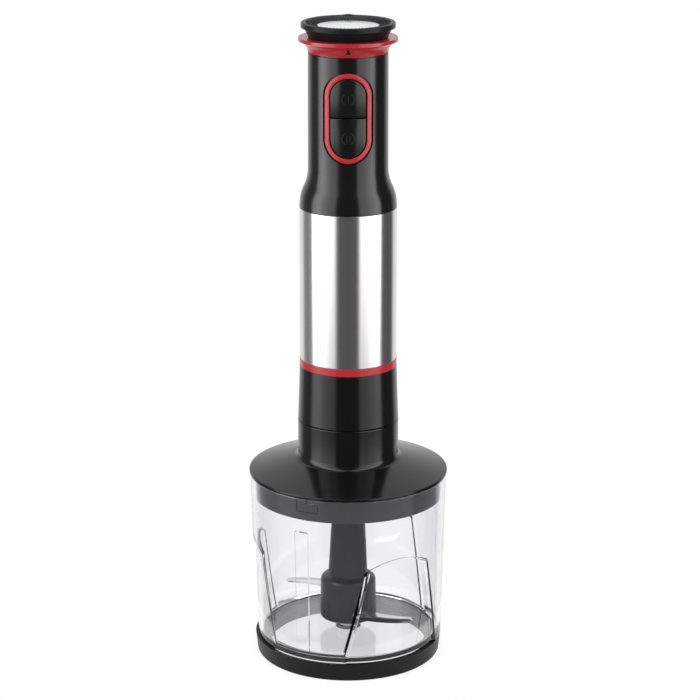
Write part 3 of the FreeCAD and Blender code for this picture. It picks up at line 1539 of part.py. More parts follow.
def drive_coupling():
    """The hexagon on the shaft's end that drops into the sun gear's socket."""
    body = new_body("drive_coupling_body")
    turned(body, "coupling_collar", [[
        Corner(0, s.coupling_shoulder),
        Corner(s.coupling_collar_radius, s.coupling_shoulder),
        Corner(s.coupling_collar_radius, s.coupling_top, rounding=s.edge_round),
        Corner(0, s.coupling_top),
    ]])
    raised(body, "coupling_hexagon", [hexagon(s.coupling_flats)], s.coupling_bottom,
           s.coupling_shoulder - s.coupling_bottom)
    cut_away(body, "coupling_bore", [(0, 0, s.shaft_radius + s.snug_gap)], s.shaft_bottom,
             s.coupling_top - s.shaft_bottom)
    return body


def bearing(name, bottom):
    """A sealed ball bearing: rings with a recess in both faces."""
    body = new_body(name + "_body")
    bore = s.shaft_radius + s.running_gap
    top = bottom + s.bearing_width
    inner = bore + s.bearing_ring_width
    outer = s.bearing_radius - s.bearing_ring_width
    turned(body, name + "_section", [[
        Corner(bore, bottom), Corner(inner, bottom),
        Corner(inner, bottom + s.bearing_recess), Corner(outer, bottom + s.bearing_recess),
        Corner(outer, bottom), Corner(s.bearing_radius, bottom),
        Corner(s.bearing_radius, top), Corner(outer, top),
        Corner(outer, top - s.bearing_recess), Corner(inner, top - s.bearing_recess),
        Corner(inner, top), Corner(bore, top),
    ]])
    return body


def lower_bracket():
    """Plate with the lower bearing's cup below it, windows for the cooling air, and bolt holes."""
    body = new_body("lower_bracket_body")
    cup = s.bearing_radius + s.snug_gap
    edge = s.housing_mid_radius - s.housing_wall - s.loose_gap
    turned(body, "lower_bracket_section", [[
        Corner(cup, s.lower_bearing_bottom),
        Corner(cup + s.bearing_cup_wall, s.lower_bearing_bottom),
        Corner(cup + s.bearing_cup_wall, lower_plate),
        Corner(edge, lower_plate),
        Corner(edge, lower_plate + s.bracket_thickness),
        Corner(s.shaft_radius + s.bracket_bore_gap, lower_plate + s.bracket_thickness),
        Corner(s.shaft_radius + s.bracket_bore_gap, lower_plate),
        Corner(cup, lower_plate),
    ]])
    finish_bracket(body, "lower_bracket", lower_plate)
    return body


def finish_bracket(body, name, plate):
    """Six air windows round the bearing, and two holes for the long bolts."""
    window = cut_away(body, name + "_window", [(*polar(s.bracket_window_circle, 30), s.bracket_window_radius)],
                      plate, s.bracket_thickness)
    repeated(body, window, s.bracket_windows)
    hole = s.bolt_radius + s.snug_gap
    cut_away(body, name + "_bolt_holes", [(0, s.bolt_circle, hole), (0, -s.bolt_circle, hole)],
             plate, s.bracket_thickness)


def upper_bracket():
    """A cap on the stator: a ring wall, a plate, and the upper bearing's cup."""
    body = new_body("upper_bracket_body")
    cup = s.bearing_radius + s.snug_gap
    edge = s.barrel_inner - s.loose_gap
    turned(body, "upper_bracket_section", [[
        Corner(edge - s.bracket_ring_wall, s.stator_top),
        Corner(edge, s.stator_top),
        Corner(edge, upper_plate_top),
        Corner(cup + s.bearing_cup_wall, upper_plate_top),
        Corner(cup + s.bearing_cup_wall, upper_plate_top + s.bearing_width),
        Corner(cup, upper_plate_top + s.bearing_width),
        Corner(cup, upper_plate_top),
        Corner(s.shaft_radius + s.bracket_bore_gap, upper_plate_top),
        Corner(s.shaft_radius + s.bracket_bore_gap, upper_plate_bottom),
        Corner(edge - s.bracket_ring_wall, upper_plate_bottom),
    ]])
    finish_bracket(body, "upper_bracket", upper_plate_bottom)
    return body


def motor_bolts():
    body = new_body("motor_bolts_body")
    y = s.bolt_circle
    raised(body, "bolt_shanks", [(0, y, s.bolt_radius), (0, -y, s.bolt_radius)], lower_plate,
           upper_plate_top - lower_plate)
    raised(body, "bolt_heads", [(0, y, s.bolt_head_radius), (0, -y, s.bolt_head_radius)], upper_plate_top,
           s.bolt_head_height)
    return body


def from_x(radius, angle, **how):
    """A Corner at an angle from +X."""
    return Corner(radius * cosine(angle), radius * sine(angle), **how)


def stator_core():
    """Laminated ring with two poles along X; the windows beside them hold the coils."""
    body = new_body("stator_core_body")
    turned(body, "stator_ring", [ring(s.pole_bore, s.stator_radius, s.stator_bottom, s.stator_top)])
    shoe = s.pole_bore + s.shoe_thickness
    half = s.pole_half_width
    tip = s.shoe_half_angle
    yoke_x = chord(s.yoke_inner_radius, half)
    shoe_x = chord(shoe, half)
    inside = s.pole_bore - 1
    window = cut_away(body, "coil_window", [[
        Corner(shoe_x, half),
        Corner(yoke_x, half),
        Corner(-yoke_x, half, arc=s.yoke_inner_radius),
        Corner(-shoe_x, half),
        from_x(shoe, 180 - tip, arc=shoe, centre="right"),
        from_x(inside, 180 - tip),
        from_x(inside, tip),
        from_x(shoe, tip),
    ]], s.stator_bottom, s.stator_height)
    repeated(body, window, 2)
    hole = s.bolt_radius + s.snug_gap
    cut_away(body, "stator_bolt_holes", [(0, s.bolt_circle, hole), (0, -s.bolt_circle, hole)],
             s.stator_bottom, s.stator_height)
    return body


def field_coils():
    """Two saddle coils: a racetrack seen along the poles, cut to the depth of the coil windows."""
    track = new_body("coil_track")
    inner = s.pole_half_width + s.coil_gap
    outer = inner + s.coil_side
    low = s.stator_bottom - s.coil_gap
    high = s.stator_top + s.coil_gap
    over = s.coil_overhang
    raised(track, "coil_racetrack", [box(-outer, outer, low - over, high + over, s.coil_corner_round),
                                     box(-inner, inner, low, high)],
           0, 2 * s.stator_radius, plane="YZ_Plane", both_ways=True)
    depth = new_body("coil_depth")
    turned(depth, "coil_depth_ring", [ring(s.pole_bore + s.shoe_thickness + s.coil_gap,
                                           s.yoke_inner_radius - s.coil_gap, low - over - 1,
                                           high + over + 1)])
    return joined("Common", "field_coils_whole", track, depth)


def armature_core():
    body = new_body("armature_core_body")
    turned(body, "armature_disc", [ring(s.shaft_radius + s.snug_gap, s.armature_radius, s.stator_bottom,
                                        s.stator_top)])
    half = s.slot_width / 2
    slot = cut_away(body, "armature_slot", [box(s.armature_radius - s.slot_depth, s.armature_radius + 1,
                                                -half, half)],
                    s.stator_bottom, s.stator_height)
    repeated(body, slot, s.armature_slots)
    return body


def armature_winding():
    """The copper bundles at both ends of the armature."""
    body = new_body("armature_winding_body")
    bells = []
    for start, way in ((s.stator_bottom, -1), (s.stator_top, 1)):
        end = start + way * s.winding_overhang
        bells.append([
            Corner(s.winding_inner_radius, start),
            Corner(s.winding_outer_radius, start),
            Corner(s.winding_outer_radius, end, rounding=s.winding_round),
            Corner(s.winding_inner_radius, end, rounding=s.winding_round / 2),
        ])
    turned(body, "winding_bells", bells)
    return body


def commutator():
    body = new_body("commutator_body")
    turned(body, "commutator_drum", [ring(s.shaft_radius + s.snug_gap, s.commutator_radius,
                                          s.commutator_bottom, s.commutator_bottom + s.commutator_height)])
    half = s.commutator_groove / 2
    groove = cut_away(body, "commutator_groove",
                      [box(s.commutator_radius - s.commutator_groove_depth, s.commutator_radius + 1,
                           -half, half)],
                      s.commutator_bottom, s.commutator_height)
    repeated(body, groove, s.armature_slots)
    return body


def carbon_brushes():
    """Two carbon blocks that press on the commutator from both sides."""
    body = new_body("carbon_brushes_body")
    start = s.commutator_radius + s.loose_gap / 2
    w = s.brush_half_width
    low = s.brush_height - s.brush_half_height
    raised(body, "brush_blocks", [box(start, s.brush_outer, -w, w), box(-s.brush_outer, -start, -w, w)],
           low, 2 * s.brush_half_height)
    return body


def brush_holders():
    """Square brass tubes under the upper bracket's plate, each round one brush."""
    body = new_body("brush_holders_body")
    w = s.brush_half_width + s.snug_gap + s.holder_wall
    top = upper_plate_bottom
    low = s.brush_height - s.brush_half_height - s.snug_gap - s.holder_wall
    raised(body, "holder_blocks", [box(s.holder_inner, s.holder_outer, -w, w),
                                   box(-s.holder_outer, -s.holder_inner, -w, w)], low, top - low)
    bore = s.brush_half_width + s.snug_gap
    tall = s.brush_half_height + s.snug_gap
    cut_away(body, "holder_bores", [box(-bore, bore, s.brush_height - tall, s.brush_height + tall)],
             0, 2 * s.stator_radius, plane="YZ_Plane", both_ways=True)
    return body


def cooling_fan():
    """A moulded fan: hub, back plate and straight blades."""
    body = new_body("cooling_fan_body")
    turned(body, "fan_plate", [[
        Corner(s.shaft_radius + s.snug_gap, s.fan_bottom),
        Corner(s.fan_radius, s.fan_bottom),
        Corner(s.fan_radius, s.fan_bottom + s.fan_plate),
        Corner(s.fan_hub_radius, s.fan_bottom + s.fan_plate),
        Corner(s.fan_hub_radius, s.fan_bottom + s.fan_height),
        Corner(s.shaft_radius + s.snug_gap, s.fan_bottom + s.fan_height),
    ]])
    half = s.fan_blade_thickness / 2
    blade_pad = raised(body, "fan_blade", [box(s.fan_hub_radius - 1, s.fan_radius - s.fan_edge_gap, -half, half)],
                       s.fan_bottom + s.fan_plate, s.fan_height - s.fan_plate)
    repeated(body, blade_pad, s.fan_blades)
    return body


def damper_rings():
    """Two rubber rings that hold the stator in the barrel and keep its hum out of the casing."""
    body = new_body("damper_rings_body")
    inner = s.stator_radius + s.snug_gap
    outer = s.barrel_inner - s.snug_gap
    low = s.stator_bottom + s.damper_offset
    high = s.stator_top - s.damper_offset - s.damper_height
    turned(body, "damper_sections", [ring(inner, outer, low, low + s.damper_height),
                                     ring(inner, outer, high, high + s.damper_height)])
    return body


# ---- the whole object -------------------------------------------------------------------------------

keep("foot_ring", foot_ring())
keep("bowl", bowl())
keep("bowl_floor", bowl_floor())
keep("bowl_pin", bowl_pin())
keep("blade_hub", blade_hub())
keep("lower_blade", blade("lower_blade", s.lower_blade_height, s.lower_blade_turn))
keep("upper_blade", blade("upper_blade", s.upper_blade_height, s.upper_blade_turn))
keep("lid_shell", lid_shell())
keep("shaft_seal", shaft_seal())
keep("ring_gear", ring_gear())
keep("sun_gear", sun_gear())
for index in range(int(s.planet_count.value)):
    keep(f"planet_gear_{index + 1}", planet_gear(index))
keep("planet_carrier", planet_carrier())
keep("planet_pins", planet_pins())
keep("gearbox_cover", gearbox_cover())
keep("cover_screws", cover_screws())
keep("lower_housing", lower_housing())
keep("accent_ring", accent_ring())
keep("metal_sleeve", metal_sleeve())
keep("motor_barrel", motor_barrel())
keep("grip_housing", grip_housing())
keep("button_bezel", button_bezel())
inner_end = s.bezel_border + s.button_gap
half_split = s.button_gap / 2
keep("button_high", button("button_high", s.bezel_top - inner_end, s.button_split + half_split, True))
keep("button_low", button("button_low", s.bezel_bottom + inner_end, s.button_split - half_split, False))
keep("button_spring_high", button_spring("button_spring_high", True))
keep("button_spring_low", button_spring("button_spring_low", False))
keep("switch_board", switch_board())
keep("switch_high", switch("switch_high", True))
keep("switch_low", switch("switch_low", False))
keep("top_collar", top_collar())
keep("control_board", control_board())
keep("potentiometer", potentiometer())
keep("speed_dial", speed_dial())
keep("dial_cap", dial_cap())
keep("cord_gland", cord_gland())
keep("motor_shaft", motor_shaft())
keep("drive_coupling", drive_coupling())
keep("lower_bearing", bearing("lower_bearing", s.lower_bearing_bottom))
keep("upper_bearing", bearing("upper_bearing", s.upper_bearing_bottom))
keep("lower_bracket", lower_bracket())
keep("upper_bracket", upper_bracket())
keep("motor_bolts", motor_bolts())
keep("stator_core", stator_core())
keep("field_coils", field_coils())
keep("armature_core", armature_core())
keep("armature_winding", armature_winding())
keep("commutator", commutator())
keep("carbon_brushes", carbon_brushes())
keep("brush_holders", brush_holders())
keep("cooling_fan", cooling_fan())
keep("damper_rings", damper_rings())
doc.recompute()


# ---- check and export --------------------------------------------------------------------------------

def faults():
    found = []
    for thing in doc.Objects:
        if "Invalid" in thing.State or "Error" in thing.State:
            found.append(f"{thing.Name} is {thing.State}")
    for node, thing in PARTS.items():
        if thing.Shape.isNull() or not thing.Shape.isValid() or not thing.Shape.Solids:
            found.append(f"{node} has no valid solid")
    return found


def export():
    os.makedirs("parts", exist_ok=True)
    for node, thing in PARTS.items():
        thing.Shape.exportStep(f"parts/{node}.step")
        solids = len(thing.Shape.Solids)
        print(f"{node}: {solids} solid(s), {thing.Shape.Volume / 1000:.2f} cm3")


problems = faults()
if problems:
    raise SystemExit("\n".join(problems))
export()
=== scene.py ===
# %% [markdown]
# # An immersion blender standing on its chopper bowl
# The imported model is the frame: it holds every solid at its real size, and says which body each one rides
# on. This script gives the object its looks. It loads the frame first, because every piece below takes its
# place and its size from there.

# %% Load the frame
import math

import bmesh
import bpy
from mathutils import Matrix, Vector


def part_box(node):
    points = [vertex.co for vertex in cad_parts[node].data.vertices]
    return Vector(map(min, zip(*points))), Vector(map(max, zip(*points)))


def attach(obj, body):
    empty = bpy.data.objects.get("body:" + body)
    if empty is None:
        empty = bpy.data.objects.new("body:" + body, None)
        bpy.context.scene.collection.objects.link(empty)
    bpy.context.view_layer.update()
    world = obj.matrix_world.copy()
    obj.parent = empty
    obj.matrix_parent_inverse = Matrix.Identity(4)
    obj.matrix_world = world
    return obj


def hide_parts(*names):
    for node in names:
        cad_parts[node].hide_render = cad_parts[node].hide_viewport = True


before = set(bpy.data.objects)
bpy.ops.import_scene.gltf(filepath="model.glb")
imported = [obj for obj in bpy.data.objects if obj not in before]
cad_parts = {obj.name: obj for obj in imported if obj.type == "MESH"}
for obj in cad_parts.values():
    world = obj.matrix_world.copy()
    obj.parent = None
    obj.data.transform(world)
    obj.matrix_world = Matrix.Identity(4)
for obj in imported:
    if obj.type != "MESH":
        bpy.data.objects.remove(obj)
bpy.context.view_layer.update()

MM = 0.001


def span(node):
    """A round node's outer radius and its lowest and highest level, in millimetres."""
    low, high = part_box(node)
    return (high.x - low.x) / 2 / MM, low.z / MM, high.z / MM


# %% [markdown]
# ## Camera
# A long lens from 1.4 m away keeps the tall body nearly straight, and a gentle downward tilt shows the lid as
# an ellipse. The lens is set as a focal length on a 36 mm sensor.

# %% Camera
CAMERA_DISTANCE = 1.401
CAMERA_HEIGHT = 0.607
CAMERA_TILT = 16.55
CAMERA_LENS = 125.4
SENSOR_WIDTH = 36
CAMERA_SHIFT = 0.0026

bpy.ops.object.camera_add(location=(0, -CAMERA_DISTANCE, CAMERA_HEIGHT),
                          rotation=(math.radians(90 - CAMERA_TILT), 0, 0))
camera = bpy.context.object
camera.name = "camera"
camera.data.lens = CAMERA_LENS
camera.data.sensor_width = SENSOR_WIDTH
camera.data.shift_x = CAMERA_SHIFT
camera.data.clip_end = 20
bpy.context.scene.camera = camera
bpy.context.scene.view_settings.view_transform = "Standard"
print("camera lens", CAMERA_LENS, "mm")

# %% [markdown]
# ## Shader helper
# Materials are node graphs. Written node by node they are long and hard to read, so one small class wraps a
# socket and lets ordinary arithmetic add the Math nodes. Any other node comes from one method.

# %% Shader helper
class Link:
    """An output socket that can be used in arithmetic; the tree grows a Math node for each operation."""

    def __init__(self, tree, socket):
        self.tree = tree
        self.socket = socket

    def math(self, operation, *values):
        return self.node("ShaderNodeMath", {"operation": operation}, {0: self, **dict(enumerate(values, 1))})

    def __add__(self, other):
        return self.math("ADD", other)

    def __radd__(self, other):
        return self.math("ADD", other)

    def __sub__(self, other):
        return self.math("SUBTRACT", other)

    def __rsub__(self, other):
        return self.node("ShaderNodeMath", {"operation": "SUBTRACT"}, {0: other, 1: self})

    def __mul__(self, other):
        return self.math("MULTIPLY", other)

    def __rmul__(self, other):
        return self.math("MULTIPLY", other)

    def __truediv__(self, other):
        return self.math("DIVIDE", other)

    def __pow__(self, other):
        return self.math("POWER", other)

    def above(self, limit):
        return self.math("GREATER_THAN", limit)

    def below(self, limit):
        return self.math("LESS_THAN", limit)

    def node(self, kind, settings, inputs, output=0):
        """Add a node: its settings first, then its sockets' values or links; give back one output."""
        made = self.tree.nodes.new(kind)
        for key, value in settings.items():
            if key == "stops":
                for stop, (place, colour) in zip(ramp_stops(made, len(value)), value):
                    stop.position = place
                    stop.color = colour
            else:
                setattr(made, key, value)
        for key, value in inputs.items():
            if isinstance(value, Link):
                self.tree.links.new(value.socket, made.inputs[key])
            else:
                made.inputs[key].default_value = value
        return Link(self.tree, made.outputs[output])


def ramp_stops(ramp, count):
    stops = ramp.color_ramp.elements
    while len(stops) < count:
        stops.new(1.0)
    return list(stops)


def material(name, base, **constants):
    """A new material with a Principled shader whose plain sockets are set; gives both."""
    made = bpy.data.materials.new(name)
    made.use_nodes = True
    shader = made.node_tree.nodes["Principled BSDF"]
    shader.inputs["Base Color"].default_value = (*base, 1)
    for key, value in constants.items():
        shader.inputs[key.replace("_", " ")].default_value = value
    return made, shader


def place_on(made):
    """Object coordinates as a Link to start an expression with."""
    tree = made.node_tree
    coordinates = tree.nodes.new("ShaderNodeTexCoord")
    return Link(tree, coordinates.outputs["Object"])


def feed(made, shader, socket, link):
    made.node_tree.links.new(link.socket, shader.inputs[socket])


def noise(place, scale, detail=2.0, roughness=0.5):
    return place.node("ShaderNodeTexNoise", {}, {"Vector": place, "Scale": scale, "Detail": detail,
                                                 "Roughness": roughness})


def stretched(place, x, y, z):
    """The same place with each axis scaled, so that a noise on it becomes streaks."""
    return place.node("ShaderNodeMapping", {}, {"Vector": place, "Scale": (x, y, z)})


def bump(made, shader, height, distance):
    relief = height.node("ShaderNodeBump", {}, {"Height": height, "Distance": distance})
    feed(made, shader, "Normal", relief)


print("shader helper ready")

# %% [markdown]
# ## Stage and light
# A glossy black body shows nothing but its surroundings, so the studio is really what gives it its shape.
# Two soft boxes light the object and the floor; a mirror doesn't see them, because the world's panels make
# the reflections. The floor is a plain pale disc that reaches only a little past the bowl, so that the tall
# body mirrors the studio's walls and not the floor, and its edge doesn't show through the bowl.

# %% Floor
FLOOR_RADIUS = 0.1
FLOOR_GLOW = 0.74

bpy.ops.mesh.primitive_circle_add(vertices=96, radius=FLOOR_RADIUS, fill_type="NGON", location=(0, 0, 0))
floor = bpy.context.object
floor.name = "floor"
floor_finish, _ = material("pale_floor", (0.28, 0.28, 0.28), Roughness=0.8, Specular_IOR_Level=0.1,
                           Emission_Color=(1, 1, 1, 1), Emission_Strength=FLOOR_GLOW)
floor.data.materials.append(floor_finish)
print("floor", FLOOR_RADIUS, "m in radius")


# %% Soft boxes
BOX_DISTANCE, BOX_LEVEL, BOX_SIZE = 1.5, 1.3, 1.2
AIM_LEVEL = 0.15


def soft_box(name, turn, power):
    """A square light that faces the object; turn is counted from the front towards +X."""
    angle = math.radians(turn)
    place = Vector((math.sin(angle) * BOX_DISTANCE, -math.cos(angle) * BOX_DISTANCE, BOX_LEVEL))
    bpy.ops.object.light_add(type="AREA", location=place)
    lamp = bpy.context.object
    lamp.name = name
    lamp.rotation_euler = (Vector((0, 0, AIM_LEVEL)) - place).to_track_quat("-Z", "Y").to_euler()
    lamp.data.shape = "RECTANGLE"
    lamp.data.size = BOX_SIZE
    lamp.data.size_y = BOX_SIZE
    lamp.data.energy = power
    lamp.visible_glossy = False


soft_box("left_soft_box", -62, 14)
soft_box("right_soft_box", 60, 12)
print("two soft boxes")

# %% [markdown]
# ## World
# The world plays the studio's walls. Looked at directly it is white. A mirror sees it differently: two tall
# bright panels left and right of a dark gap where the camera stands, a dim strip behind each panel, and pale
# walls behind the object. The panels fade towards the table. Light that was bent by the clear bowl sees
# white only straight behind the object and a soft, faintly violet grey elsewhere, which draws the bowl's
# edges and dents.
#
# A colour ramp over the compass turn draws the panels, one over the height makes the fade, and one over the
# way forwards or back gives the bent light its grey.

# %% World
GAP, BEHIND_PANEL, FAR_WALL = 0.085, 0.24, 0.86
PEAK = 5.0
VIOLET = (0.92, 0.92, 1, 1)


def grey(value):
    return (value, value, value, 1)


def ramp(value, *stops):
    """A grey ramp over a value, from stops of (value, brightness)."""
    return value.node("ShaderNodeValToRGB", {"stops": [(at, grey(shade)) for at, shade in stops]}, {0: value})


def turn_ramp(turn, *stops):
    """A ramp over the compass turn, from stops of (degrees from the front towards +X, value up to PEAK)."""
    return ramp(turn, *((degrees / 360 + 0.5, value / PEAK) for degrees, value in stops)) * PEAK


world = bpy.data.worlds.new("studio")
world.use_nodes = True
bpy.context.scene.world = world
walls = world.node_tree
direction = Link(walls, walls.nodes.new("ShaderNodeTexCoord").outputs["Generated"])
sides = {axis: direction.node("ShaderNodeSeparateXYZ", {}, {0: direction}, output) for output, axis in
         enumerate("xyz")}
turn = sides["x"].math("ARCTAN2", sides["y"] * -1) / (2 * math.pi) + 0.5
panels = turn_ramp(turn, (-96, 0), (-91, 3.0), (-75, 4.6), (-55, 2.6), (-42, 1.9), (-33, 1.8), (-26, 0),
                   (24, 0), (28, 1.8), (42, 1.9), (58, 2.8), (74, 3.8), (80, 3.2), (85, 0))
room = turn_ramp(turn, (-180, FAR_WALL), (-138, FAR_WALL), (-124, BEHIND_PANEL), (-96, BEHIND_PANEL),
                 (-28, GAP), (22, GAP), (86, GAP), (124, GAP), (138, FAR_WALL), (179, FAR_WALL))
fade = ramp(sides["z"] / 2 + 0.5, (0.30, 0.1), (0.342, 0.18), (0.357, 0.28), (0.364, 0.6), (0.372, 0.8),
            (0.41, 1))
mirrored = panels * fade + room
rays = {name: Link(walls, walls.nodes.new("ShaderNodeLightPath").outputs[name])
        for name in ("Is Glossy Ray", "Is Transmission Ray")}
by_mirror = rays["Is Glossy Ray"] * (1 - rays["Is Transmission Ray"])
ahead = sides["y"] / (sides["x"] * sides["x"] + sides["y"] * sides["y"]) ** 0.5
backdrop = ramp(ahead / 2 + 0.5, (0, 0.62), (0.35, 0.55), (0.5, 0.42), (0.8, 0.42), (0.87, 0.64), (0.94, 1))
bent = rays["Is Transmission Ray"]
strength = mirrored * by_mirror + backdrop * bent + (1 - by_mirror) * (1 - bent)
surround = walls.nodes["Background"]
tint = bent.node("ShaderNodeMix", {"data_type": "RGBA"}, {0: bent * (1 - backdrop), 6: grey(1), 7: VIOLET}, 2)
walls.links.new(tint.socket, surround.inputs["Color"])
walls.links.new(strength.socket, surround.inputs["Strength"])
print("world: panels up to", PEAK, "times white in a mirror")

# %% [markdown]
# ## Shape helpers
# Most pieces of a blender are round, because they are moulded or turned round one shaft. A maker draws half
# of the section and turns it. Here a circle is added at the first corner of the section, and then extruded
# and scaled from ring to ring. A real edge is never quite sharp, so a corner may carry a radius, and a few
# rings are laid along its curve, with one more ring close by on each side to keep the flats flat.

# %% Shape helpers
SUPPORT = 0.25


def section(*corners, steps=5):
    """Rings as (radius, level) in millimetres; a third number on a corner rounds it with that radius."""
    rings = []
    for index, corner in enumerate(corners):
        spot = Vector(corner[:2])
        if len(corner) == 2:
            rings.append(spot)
            continue
        back = Vector(corners[index - 1][:2]) - spot
        ahead = Vector(corners[(index + 1) % len(corners)][:2]) - spot
        half = back.angle(ahead) / 2
        reach = corner[2] / math.tan(half)
        centre = spot + (back.normalized() + ahead.normalized()).normalized() * (corner[2] / math.sin(half))
        first = spot + back.normalized() * reach
        last = spot + ahead.normalized() * reach
        if back.length > 2 * (reach + SUPPORT):
            rings.append(first + back.normalized() * SUPPORT)
        for step in range(steps + 1):
            rings.append(centre + (first.lerp(last, step / steps) - centre).normalized() * corner[2])
        if ahead.length > 2 * (reach + SUPPORT):
            rings.append(last + ahead.normalized() * SUPPORT)
    return rings


def bow(start, end, radius, side, steps=8):
    """Corners along an arc from start to end, both left out; side 1 bows to the left of the way."""
    start, end = Vector(start), Vector(end)
    along = end - start
    left = Vector((-along.y, along.x)).normalized() * side
    centre = (start + end) / 2 - left * math.sqrt(radius ** 2 - (along.length / 2) ** 2)
    return [tuple(centre + (start.lerp(end, step / steps) - centre).normalized() * radius)
            for step in range(1, steps)]


def only(piece=None):
    """Select this object alone."""
    if bpy.context.object and bpy.context.object.mode == "EDIT":
        bpy.ops.object.mode_set(mode="OBJECT")
    bpy.ops.object.select_all(action="DESELECT")
    if piece:
        piece.select_set(True)
        bpy.context.view_layer.objects.active = piece


def smooth(piece, angle=32):
    only(piece)
    bpy.ops.object.shade_smooth_by_angle(angle=math.radians(angle))
    return piece


def settle(piece):
    """Put the object's place, turn and size into its mesh, and leave the object at the origin."""
    only(piece)
    bpy.ops.object.transform_apply(location=True, rotation=True, scale=True)
    return piece


def mend(piece, merge=0.0, outwards=True):
    """Merge vertices closer than a length in millimetres, and point all faces outwards."""
    only(piece)
    bpy.ops.object.mode_set(mode="EDIT")
    bpy.ops.mesh.select_all(action="SELECT")
    if merge:
        bpy.ops.mesh.remove_doubles(threshold=merge * MM)
    if outwards:
        bpy.ops.mesh.normals_make_consistent(inside=False)
    bpy.ops.object.mode_set(mode="OBJECT")
    return piece


def bevel(piece, width, segments=1):
    """Round a piece's sharp edges by a width in millimetres."""
    only(piece)
    bpy.ops.object.modifier_add(type="BEVEL")
    piece.modifiers["Bevel"].width = width * MM
    piece.modifiers["Bevel"].segments = segments
    bpy.ops.object.modifier_apply(modifier="Bevel")
    return piece


def join(piece, *others):
    """Make several objects one, under the first one's name."""
    only(piece)
    for other in others:
        other.select_set(True)
    bpy.ops.object.join()
    return piece


def lathe(name, rings, facets=160):
    """Extrude a circle from ring to ring. A section that starts or ends on the axis is closed there."""
    only()
    capped = rings[0][0] == 0
    rings = list(rings[1:] if capped else rings)
    radius, level = rings[0]
    bpy.ops.mesh.primitive_circle_add(vertices=facets, radius=radius * MM, location=(0, 0, level * MM),
                                      fill_type="TRIFAN" if capped else "NOTHING")
    piece = bpy.context.object
    piece.name = name
    bpy.ops.object.mode_set(mode="EDIT")
    if capped:
        bpy.ops.mesh.select_all(action="DESELECT")
        mesh = bmesh.from_edit_mesh(piece.data)
        for edge in mesh.edges:
            edge.select_set(all(vert.co.xy.length > radius * MM / 2 for vert in edge.verts))
        bmesh.update_edit_mesh(piece.data)
    for next_radius, next_level in rings[1:]:
        bpy.ops.mesh.extrude_edges_move(TRANSFORM_OT_translate={"value": (0, 0, (next_level - level) * MM)})
        if next_radius == 0:
            bpy.ops.mesh.merge(type="CENTER")
            break
        change = next_radius / radius
        bpy.ops.transform.resize(value=(change, change, 1), center_override=(0, 0, 0))
        radius, level = next_radius, next_level
    else:
        mesh = bmesh.from_edit_mesh(piece.data)
        mesh.verts.ensure_lookup_table()
        for vert in mesh.verts[:facets]:
            vert.select_set(True)
        mesh.select_flush(True)
        bmesh.update_edit_mesh(piece.data)
        bpy.ops.mesh.bridge_edge_loops()
    bpy.ops.mesh.select_all(action="SELECT")
    bpy.ops.mesh.normals_make_consistent(inside=False)
    bpy.ops.object.mode_set(mode="OBJECT")
    return smooth(settle(piece))


def remade(node):
    """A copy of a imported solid, its loose triangles merged and its curves shaded smooth."""
    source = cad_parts[node]
    piece = bpy.data.objects.new(node + "_skin", source.data.copy())
    bpy.context.scene.collection.objects.link(piece)
    return smooth(mend(piece, merge=0.004))


def dress(piece, finish, slot, body, *nodes):
    """Give a piece its finish, let it ride on its body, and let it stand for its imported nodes."""
    piece.data.materials.clear()
    piece.data.materials.append(finish)
    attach(piece, body)
    if nodes:
        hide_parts(*nodes)
    print(piece.name, len(piece.data.polygons), "faces")
    return piece


def paint(finish, *nodes):
    """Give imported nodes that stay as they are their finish."""
    for node in nodes:
        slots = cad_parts[node].data.materials
        slots.clear()
        slots.append(finish)


def choose(piece, wanted):
    """In edit mode, select only the vertices that pass the test, given in millimetres."""
    mesh = bmesh.from_edit_mesh(piece.data)
    bpy.ops.mesh.select_all(action="DESELECT")
    for vert in mesh.verts:
        vert.select_set(wanted(vert.co / MM))
    mesh.select_flush(True)
    bmesh.update_edit_mesh(piece.data)


def shape(piece, place):
    """Move every vertex to place(x, y, z), in millimetres."""
    for vert in piece.data.vertices:
        vert.co = Vector(place(*(vert.co / MM))) * MM
    piece.data.update()
    return piece


def carve(piece, cutter, operation="DIFFERENCE"):
    """Cut the cutter out of a piece, or join it on, and delete the cutter."""
    only(piece)
    bpy.ops.object.modifier_add(type="BOOLEAN")
    step = piece.modifiers["Boolean"]
    step.operation = operation
    step.object = cutter
    bpy.ops.object.modifier_apply(modifier="Boolean")
    only(cutter)
    bpy.ops.object.delete()
    print("carved", piece.name, len(piece.data.polygons))
    return piece


print("shape helpers ready")

# %% [markdown]
# ## Plastics
# The casing is moulded in glossy black, the trim in red. A moulded face is never a perfect mirror: it has a
# faint orange-peel ripple, and its gloss varies a little where hands have been. Both come from noise on the
# object's own coordinates, one at the scale of a few millimetres for the gloss, one finer for the ripple.


# %% Plastics
def plastic(name, base, gloss, spread=0.06, ripple=0.004, grain=900, shade=0.15, **constants):
    """Moulded plastic: roughness wanders round gloss, and a fine ripple breaks up the highlights."""
    made, shader = material(name, base, Roughness=gloss, **constants)
    place = place_on(made)
    patches = noise(place, 60, 3)
    feed(made, shader, "Roughness", patches * (2 * spread) + (gloss - spread))
    colour = patches.node("ShaderNodeMix", {"data_type": "RGBA"},
                          {0: patches * shade, 6: (*base, 1), 7: (*(part * 0.6 for part in base), 1)}, 2)
    feed(made, shader, "Base Color", colour)
    bump(made, shader, noise(place, grain), ripple * MM)
    return made


def axes(place):
    """The object coordinates in millimetres, as three values."""
    return [place.node("ShaderNodeSeparateXYZ", {}, {0: place}, output) * 1000 for output in range(3)]


def line(distance, half):
    """1 where a distance is under half a line's width."""
    return distance.math("ABSOLUTE").below(half)


